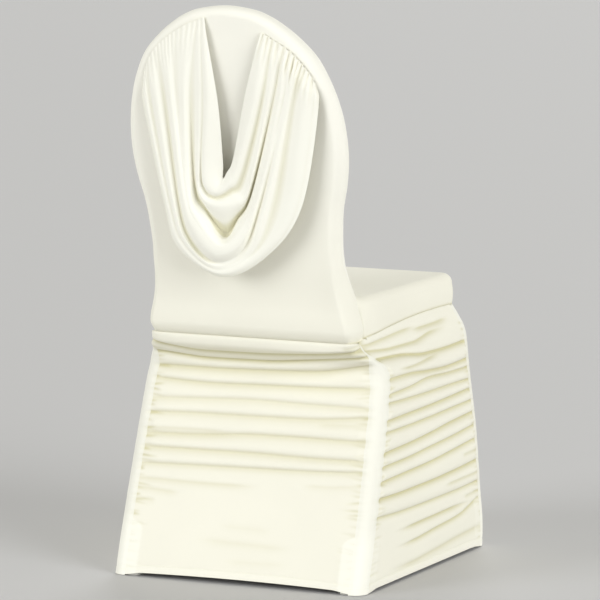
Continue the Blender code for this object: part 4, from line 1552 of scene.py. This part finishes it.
# Swag
@dataclass(frozen=True)
class Drape:
    """One line along the swag: places from its left end round its lowest place to its right end.

    side_off and low_off are how far it stands off the hood at its sides and at its lowest place.
    """

    left_end: tuple[float, float]
    left_up: tuple[float, float]
    left_low: tuple[float, float]
    left_deep: tuple[float, float]
    lowest: tuple[float, float]
    right_deep: tuple[float, float]
    right_low: tuple[float, float]
    right_up: tuple[float, float]
    right_end: tuple[float, float]
    side_off: float
    low_off: float


SWAG_DRAPES = (
    Drape((29, 899), (14, 777), (12, 679), (13, 654), (13, 645),
          (6, 656), (-6, 679), (-34, 779), (-67, 878), 7, 14),
    Drape((33, 898), (28, 782), (41, 671), (39, 638), (21, 625),
          (0, 638), (-16, 666), (-55, 781), (-77, 873), 14, 26),
    Drape((36, 896), (38, 781), (49, 660), (44, 627), (25, 614),
          (-1, 626), (-22, 648), (-65, 779), (-84, 868), 8, 20),
    Drape((39, 895), (44, 780), (55, 648), (44, 611), (16, 601),
          (-15, 609), (-34, 632), (-76, 778), (-94, 863), 12, 31),
    Drape((43, 893), (60, 776), (64, 632), (43, 593), (15, 558),
          (-8, 584), (-33, 624), (-83, 778), (-102, 858), 5, 9),
    Drape((59, 888), (70, 775), (69, 625), (47, 583), (13, 549),
          (-15, 574), (-41, 622), (-91, 778), (-108, 854), 14, 34),
    Drape((85, 874), (84, 771), (74, 619), (52, 573), (15, 540),
          (-20, 564), (-46, 620), (-95, 778), (-112, 851), 8, 43),
    Drape((101, 863), (93, 770), (80, 612), (60, 560), (22, 528),
          (-22, 549), (-51, 617), (-101, 778), (-116, 848), 15, 44),
    Drape((118, 849), (107, 767), (91, 606), (72, 546), (31, 514),
          (-18, 533), (-55, 613), (-105, 777), (-120, 844), 5, 30),
    Drape((129, 835), (118, 764), (97, 605), (77, 544), (30, 508),
          (-29, 531), (-64, 611), (-111, 777), (-126, 838), 14, 42),
    Drape((137, 821), (131, 759), (105, 603), (83, 540), (27, 502),
          (-38, 531), (-76, 607), (-118, 776), (-134, 829), 6, 37),
    Drape((143, 806), (137, 755), (110, 602), (88, 536), (23, 496),
          (-48, 529), (-101, 605), (-137, 773), (-144, 816), 11, 38),
    Drape((148, 789), (144, 750), (116, 600), (94, 532), (20, 490),
          (-57, 525), (-121, 605), (-157, 762), (-152, 801), 6, 34),
)


@dataclass
class Swag:
    """The draped cowl, sewn to both upper edges of the hood."""

    form: CoverForm
    columns: int = 120
    steps: int = 15
    sewn_off: float = 2.4 * MM       # off the hood where it is sewn on
    clearance: float = 5.4 * MM      # least way off the hood elsewhere
    deep_share: float = 0.8          # share of the way from side_off to low_off, beside the lowest place
    steepest: float = 0.8            # most rise of a fold for the way to the next line
    tightest: float = 2.5 * MM       # lines closer than this lie level
    sewn_reach: float = 28 * MM
    gather_reach: float = 62 * MM
    gather_height: float = 1.5 * MM
    gather_pitch: float = 9.5 * MM
    gather_drift: float = 0.25       # unevenness of the pitch
    gather_drift_pitch: float = 13 * MM
    gather_level: float = 0.6
    # painted shade in the gathers' valleys
    gather_tint: float = 0.35
    gather_valley: float = -0.2
    right_phase: float = 1.9
    left_gathers: float = 0.35
    left_softness: float = 0.5
    left_reach: float = 0.15
    sharpness: float = 0.6           # 0 for valleys as round as the folds, 1 for sharp ones
    valley_rows: int = 14
    full_valley: float = 7 * MM      # a valley this deep has the whole painted shade of a fold
    hem_row: int = -6                # the row that the hem's stitches follow
    hem_line: Array | None = None

    def lines(self) -> Array:
        """The table's lines, each spread evenly from its left seam to its right seam."""
        lines = []
        for drape in SWAG_DRAPES:
            half_way = (drape.side_off + drape.low_off) / 2
            deep = drape.side_off + (drape.low_off - drape.side_off) * self.deep_share
            stages = (
                (drape.left_end, 0), (drape.left_up, drape.side_off), (drape.left_low, half_way),
                (drape.left_deep, deep), (drape.lowest, drape.low_off), (drape.right_deep, deep),
                (drape.right_low, half_way), (drape.right_up, drape.side_off), (drape.right_end, 0),
            )
            line = np.array([(x, off, z) for (x, z), off in stages]) * MM
            lines.append(spread_evenly(smooth_rows(line, CURVE_STEPS), self.columns + 1))
        return self.ease_tight_folds(np.array(lines))

    def ease_tight_folds(self, lines: Array) -> Array:
        """Flatten a fold where its lines run so close together that the cloth would cut itself."""
        eased = lines.copy()
        level = (lines[:-2, :, 1] + lines[2:, :, 1]) / 2
        flat = lines[..., (0, 2)]
        gaps = np.linalg.norm(np.diff(flat, axis=0), axis=-1)
        most = np.maximum(0, (gaps[:-1] + gaps[1:]) / 2 - self.tightest) * self.steepest
        eased[1:-1, :, 1] = level + np.clip(lines[1:-1, :, 1] - level, -most, most)
        return eased

    def build(self) -> list[Piece]:
        """Make the swag."""
        lines = self.lines()
        lines[..., 1] = self.softer_left(lines[..., 1])
        cloth = smooth_rows(lines, self.steps)
        sharp = self.sharp_valleys(lines[..., 1])
        cloth[..., 1] += (sharp - cloth[..., 1]) * self.sharpness
        rows, columns = cloth.shape[:2]
        steps = np.linalg.norm(np.diff(cloth, axis=1), axis=-1)
        run = np.concatenate((np.zeros((rows, 1)), np.cumsum(steps, axis=1)), axis=1)
        from_end = np.minimum(run, run[:, -1:] - run)
        gathered = 1 - smooth_step(from_end / self.gather_reach)
        on_left = (np.arange(columns) < columns / 2)[None, :]
        pleats = self.pleats(cloth, on_left)
        # Painted shade in the swag's valleys, and between its gathers beside the sewn ends.
        valley_shade = self.across_valleys(cloth[..., 1])
        gathered = gathered * np.where(on_left, self.left_gathers, 1.0)
        off = np.maximum(0.0, cloth[..., 1]) + self.gather_height * gathered * (self.gather_level + pleats)
        off += (self.clearance - self.sewn_off) * (smooth_step(from_end / self.sewn_reach) - 1)
        y = self.form.hood_surface(cloth[..., 0], cloth[..., 2]) + self.clearance + off
        points = np.stack((cloth[..., 0], y, cloth[..., 2]), axis=-1)
        falls = np.linalg.norm(np.diff(points, axis=0), axis=-1)
        down = np.concatenate((np.zeros((1, columns)), np.cumsum(falls, axis=0)))
        fold = np.clip(valley_shade + self.gather_tint * gathered * (pleats < self.gather_valley), 0, 1)
        surface = Surface.from_grid(points, np.stack((run, down), axis=-1), fold)
        shape = surface.build("cloth_swag", SWAG_IVORY, (0, -1, HOOD_MIDDLE))
        self.hem_line = points[self.hem_row]
        return [Piece(shape, "swag", SWAG_IVORY.slot, flat=(0.60, 0.34), hold=Hold.DRAPED,
                      rests_on=("cloth_hood_rear_panel",), area=0.105)]

    def pleats(self, cloth: Array, on_left: Array) -> Array:
        """Small gathers beside the two sewn ends, an uneven wave from -1 to 1 down each.

        Args:
            cloth: the swag's places, row by column.
            on_left: which columns are nearer to the left end.

        Returns:
            The wave at each place.
        """
        left, right = [
            np.concatenate(([0.0], np.cumsum(np.linalg.norm(np.diff(cloth[:, end], axis=0), axis=1))))
            for end in (0, -1)]
        run = np.where(on_left, left[:, None], right[:, None])
        drift = self.gather_drift * np.sin(run / self.gather_drift_pitch)
        phase = np.where(on_left, 0.0, self.right_phase)
        return np.sin(2 * math.pi * (run / self.gather_pitch + drift) + phase)

    def softer_left(self, off: Array) -> Array:
        """The lines' distances off the hood, with flatter folds down the smoother left arm."""
        padded = np.pad(off, ((1, 1), (0, 0)), mode="edge")
        level = (padded[:-2] + 2 * padded[1:-1] + padded[2:]) / 4
        across = np.linspace(0, 1, off.shape[1])
        return off + (level - off) * self.left_softness * smooth_step((0.5 - across) / self.left_reach)

    def sharp_valleys(self, off: Array) -> Array:
        """Distances off the hood for every row, round on the folds and sharp between them."""
        rise = np.sin(math.pi / 2 * np.arange(self.steps) / self.steps)[:, None]
        fall = np.cos(math.pi / 2 * np.arange(self.steps) / self.steps)[:, None]
        spans = [np.where(b > a, a + (b - a) * rise, b + (a - b) * fall) for a, b in zip(off, off[1:])]
        return np.concatenate(spans + [off[-1:]])

    def across_valleys(self, off: Array) -> Array:
        """How deep each place lies below the folds above and beneath it, 0 to 1."""
        reach = self.valley_rows
        padded = np.pad(off, ((reach, reach), (0, 0)), mode="edge")
        rows = off.shape[0]
        crest = np.max([np.minimum(padded[reach + k:reach + k + rows], padded[reach - k:reach - k + rows])
                        for k in range(1, reach + 1)], axis=0)
        return np.clip((crest - off) / self.full_valley, 0, 1)


# Stitches
@dataclass
class Stitching:
    """Thread of the hems and the seams, set along their lines by Geometry Nodes."""

    pitch: float = 3.2 * MM
    length: float = 2.2 * MM
    radius: float = 0.22 * MM
    segments: int = 6
    rings: int = 4
    stray: float = 0.12          # most turn of a stitch, in radians
    seed: int = 5
    proud: float = 1.0008        # factor that moves the skirt's stitches out of its cloth
    swag_proud: float = 0.3 * MM

    def tree(self, name: str) -> bpy.types.NodeTree:
        """The node tree: even places along the curve, a thread at each, turned a little at random.

        Args:
            name: its name.

        Returns:
            The tree, with inputs for pitch, length, radius, turn and seed.
        """
        tree = bpy.data.node_groups.new(name, "GeometryNodeTree")
        faces = tree.interface
        faces.new_socket("Geometry", in_out="INPUT", socket_type="NodeSocketGeometry")
        for word, kind, value in (("Pitch", "NodeSocketFloat", self.pitch),
                                  ("Length", "NodeSocketFloat", self.length),
                                  ("Radius", "NodeSocketFloat", self.radius),
                                  ("Turn", "NodeSocketFloat", 0.0),
                                  ("Seed", "NodeSocketInt", self.seed)):
            faces.new_socket(word, in_out="INPUT", socket_type=kind).default_value = value
        faces.new_socket("Geometry", in_out="OUTPUT", socket_type="NodeSocketGeometry")
        given = add_node(tree, "NodeGroupInput").outputs
        spaced = add_node(tree, "GeometryNodeResampleCurve", {"mode": "LENGTH"},
                          {"Curve": given["Geometry"], "Length": given["Pitch"]})
        ball = add_node(tree, "GeometryNodeMeshUVSphere", inputs={
            "Segments": self.segments, "Rings": self.rings, "Radius": 1.0})
        half = add_node(tree, "ShaderNodeMath", {"operation": "MULTIPLY"}, {0: given["Length"], 1: 0.5})
        size = add_node(tree, "ShaderNodeCombineXYZ", inputs={
            "X": given["Radius"], "Y": given["Radius"], "Z": half.outputs[0]})
        thread = add_node(tree, "GeometryNodeTransform", inputs={
            "Geometry": ball.outputs["Mesh"], "Scale": size.outputs[0]})
        jitter = add_node(tree, "FunctionNodeRandomValue", {"data_type": "FLOAT"},
                          {2: -self.stray, 3: self.stray, "Seed": given["Seed"]})
        angle = add_node(tree, "ShaderNodeMath", {"operation": "ADD"},
                         {0: given["Turn"], 1: jitter.outputs[1]})
        turned = add_node(tree, "ShaderNodeVectorRotate", {"rotation_type": "AXIS_ANGLE"}, {
            "Vector": add_node(tree, "GeometryNodeInputTangent").outputs["Tangent"],
            "Axis": add_node(tree, "GeometryNodeInputNormal").outputs["Normal"],
            "Angle": angle.outputs[0]})
        aim = add_node(tree, "FunctionNodeAlignRotationToVector", {"axis": "Z"},
                       {"Vector": turned.outputs["Vector"]})
        placed = add_node(tree, "GeometryNodeInstanceOnPoints", inputs={
            "Points": spaced.outputs["Curve"], "Instance": thread.outputs["Geometry"],
            "Rotation": aim.outputs["Rotation"]})
        real = add_node(tree, "GeometryNodeRealizeInstances", inputs={
            "Geometry": placed.outputs["Instances"]})
        painted = add_node(tree, "GeometryNodeSetMaterial", inputs={
            "Material": THREAD.material(), "Geometry": real.outputs["Geometry"]})
        add_node(tree, "NodeGroupOutput", inputs={"Geometry": painted.outputs["Geometry"]})
        return tree

    def sew(self, name: str, lines: list[Array], turn: float) -> None:
        """Put stitches along several lines.

        Args:
            name: the new object's name.
            lines: places along each line.
            turn: how far each stitch is turned from the line, in radians.
        """
        curve = bpy.data.curves.new(name + "_line", "CURVE")
        curve.dimensions = "3D"
        for line in lines:
            spline = curve.splines.new("POLY")
            spline.points.add(len(line) - 1)
            spline.points.foreach_set("co", np.column_stack((line, np.ones(len(line)))).ravel())
        guide = bpy.data.objects.new(name + "_line", curve)
        bpy.context.scene.collection.objects.link(guide)
        modifier = guide.modifiers.new("Stitches", "NODES")
        modifier.node_group = self.tree(name + "_tree")
        sockets = {item.name: item.identifier for item in modifier.node_group.interface.items_tree
                   if item.in_out == "INPUT"}
        modifier[sockets["Turn"]] = turn
        bpy.context.view_layer.update()
        evaluated = guide.evaluated_get(bpy.context.evaluated_depsgraph_get())
        mesh = bpy.data.meshes.new_from_object(evaluated)
        mesh.name = name
        mesh.shade_smooth()
        bpy.data.objects.remove(guide)
        thread = bpy.data.objects.new(name, mesh)
        bpy.context.scene.collection.objects.link(thread)
        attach(thread, "root")
        LOG.info("%s: %d faces", name, len(mesh.polygons))

    def build(self, skirt: Skirt, strips: CornerStrips, seat: Seat, swag: Swag) -> None:
        """Gather the hem and seam lines from the finished cloth, and sew them.

        Args:
            skirt: the ruched panels.
            strips: the corner strips.
            seat: the seat panel.
            swag: the swag.
        """
        hems = []
        for grid in skirt.places.values():
            above = grid[..., 2] - grid[-1, :, 2]
            row = np.argmin(np.abs(above - HEM_HEIGHT), axis=0)
            hems.append(grid[row, np.arange(grid.shape[1])])
        for grid in strips.places.values():
            hems.append(grid[np.argmin(np.abs(grid[:, 0, 2] - HEM_HEIGHT))])
        hems = [line * (self.proud, self.proud, 1) for line in hems]
        self.sew("hem_stitches", [*hems, swag.hem_line + (0, self.swag_proud, 0)], 0.0)
        self.sew("seam_stitches", [seat.seam_line], math.pi / 2)


# Studio
@dataclass(frozen=True)
class StudioLight:
    """A soft, far light: the way towards it, its strength and colour, and how wide it looks, in degrees."""

    name: str
    towards: tuple[float, float, float]
    strength: float
    colour: tuple[float, float, float] = (0.97, 0.985, 1.0)
    spread: float = 36.0


@dataclass
class Studio:
    """Camera, lights and floor."""

    form: CoverForm
    azimuth: float = 205.25
    elevation: float = 7.918
    distance: float = 8.029
    aim_height: float = 0.4239
    lens: float = 300.0
    sensor: float = 36.0
    floor_colour: tuple[float, float, float] = (0.60, 0.595, 0.60)
    floor_reach: float = 40.0
    floor_roughness: float = 0.8
    world_colour: tuple[float, float, float] = (1.0, 0.985, 0.90)
    world_strength: float = 0.42
    light_distance: float = 4.0
    lights: tuple[StudioLight, ...] = (
        StudioLight("left_light", (0.60, 0.75, 0.24), 1.62),
        StudioLight("right_light", (-0.90, 0.36, 0.26), 2.02),
        StudioLight("front_light", (0.20, -0.90, 0.28), 1.2),
    )

    @staticmethod
    def aim(thing: bpy.types.Object, target: Vector) -> None:
        """Turn a light or the camera towards a place."""
        thing.rotation_euler = (target - thing.location).to_track_quat("-Z", "Y").to_euler()

    def build(self) -> None:
        """Set up the camera at the photograph's viewing angle, the lights and the floor."""
        scene = bpy.context.scene
        turn, lift = math.radians(self.azimuth), math.radians(self.elevation)
        target = Vector((0, self.form.shift, self.aim_height))
        camera = bpy.data.objects.new("camera", bpy.data.cameras.new("camera"))
        camera.data.lens = self.lens
        camera.data.sensor_width = self.sensor
        camera.location = target + self.distance * Vector(
            (math.sin(turn) * math.cos(lift), -math.cos(turn) * math.cos(lift), math.sin(lift)))
        self.aim(camera, target)
        scene.collection.objects.link(camera)
        scene.camera = camera
        for row in self.lights:
            data = bpy.data.lights.new(row.name, "SUN")
            data.angle = math.radians(row.spread)
            data.energy = row.strength
            data.color = row.colour
            lamp = bpy.data.objects.new(row.name, data)
            lamp.location = Vector(row.towards) * self.light_distance
            self.aim(lamp, Vector((0, 0, 0)))
            scene.collection.objects.link(lamp)
        world = bpy.data.worlds.new("studio")
        world.use_nodes = True
        sky = world.node_tree.nodes["Background"]
        sky.inputs["Color"].default_value = (*self.world_colour, 1.0)
        sky.inputs["Strength"].default_value = self.world_strength
        scene.world = world
        scene.view_settings.view_transform = "Standard"
        self.floor(scene)

    def floor(self, scene: bpy.types.Scene) -> None:
        """Lay a plain pale floor."""
        reach = self.floor_reach
        mesh = bpy.data.meshes.new("floor")
        mesh.from_pydata([(-reach, -reach, 0), (reach, -reach, 0), (reach, reach, 0), (-reach, reach, 0)],
                         [], [(0, 1, 2, 3)])
        material = bpy.data.materials.new("studio_floor")
        material.use_nodes = True
        shader = material.node_tree.nodes["Principled BSDF"]
        shader.inputs["Base Color"].default_value = (*self.floor_colour, 1.0)
        shader.inputs["Roughness"].default_value = self.floor_roughness
        mesh.materials.append(material)
        floor = bpy.data.objects.new("floor", mesh)
        scene.collection.objects.link(floor)


def main() -> None:
    """Build every piece in order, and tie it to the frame."""
    logging.basicConfig(level=logging.INFO, format="%(message)s")
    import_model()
    form = CoverForm(shift=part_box("seat_panel")[0].y + SEAT_FRONT)
    skirt, seat, swag = Skirt(form), Seat(form), Swag(form)
    strips = CornerStrips(form, skirt)
    pieces = [*skirt.build(), *strips.build(), *FootPockets(form).build(), *Hood(form).build(),
              *seat.build(), *swag.build()]
    for piece in pieces:
        piece.settle()
    Stitching().build(skirt, strips, seat, swag)
    Studio(form).build()


if __name__ == "__main__":
    main()
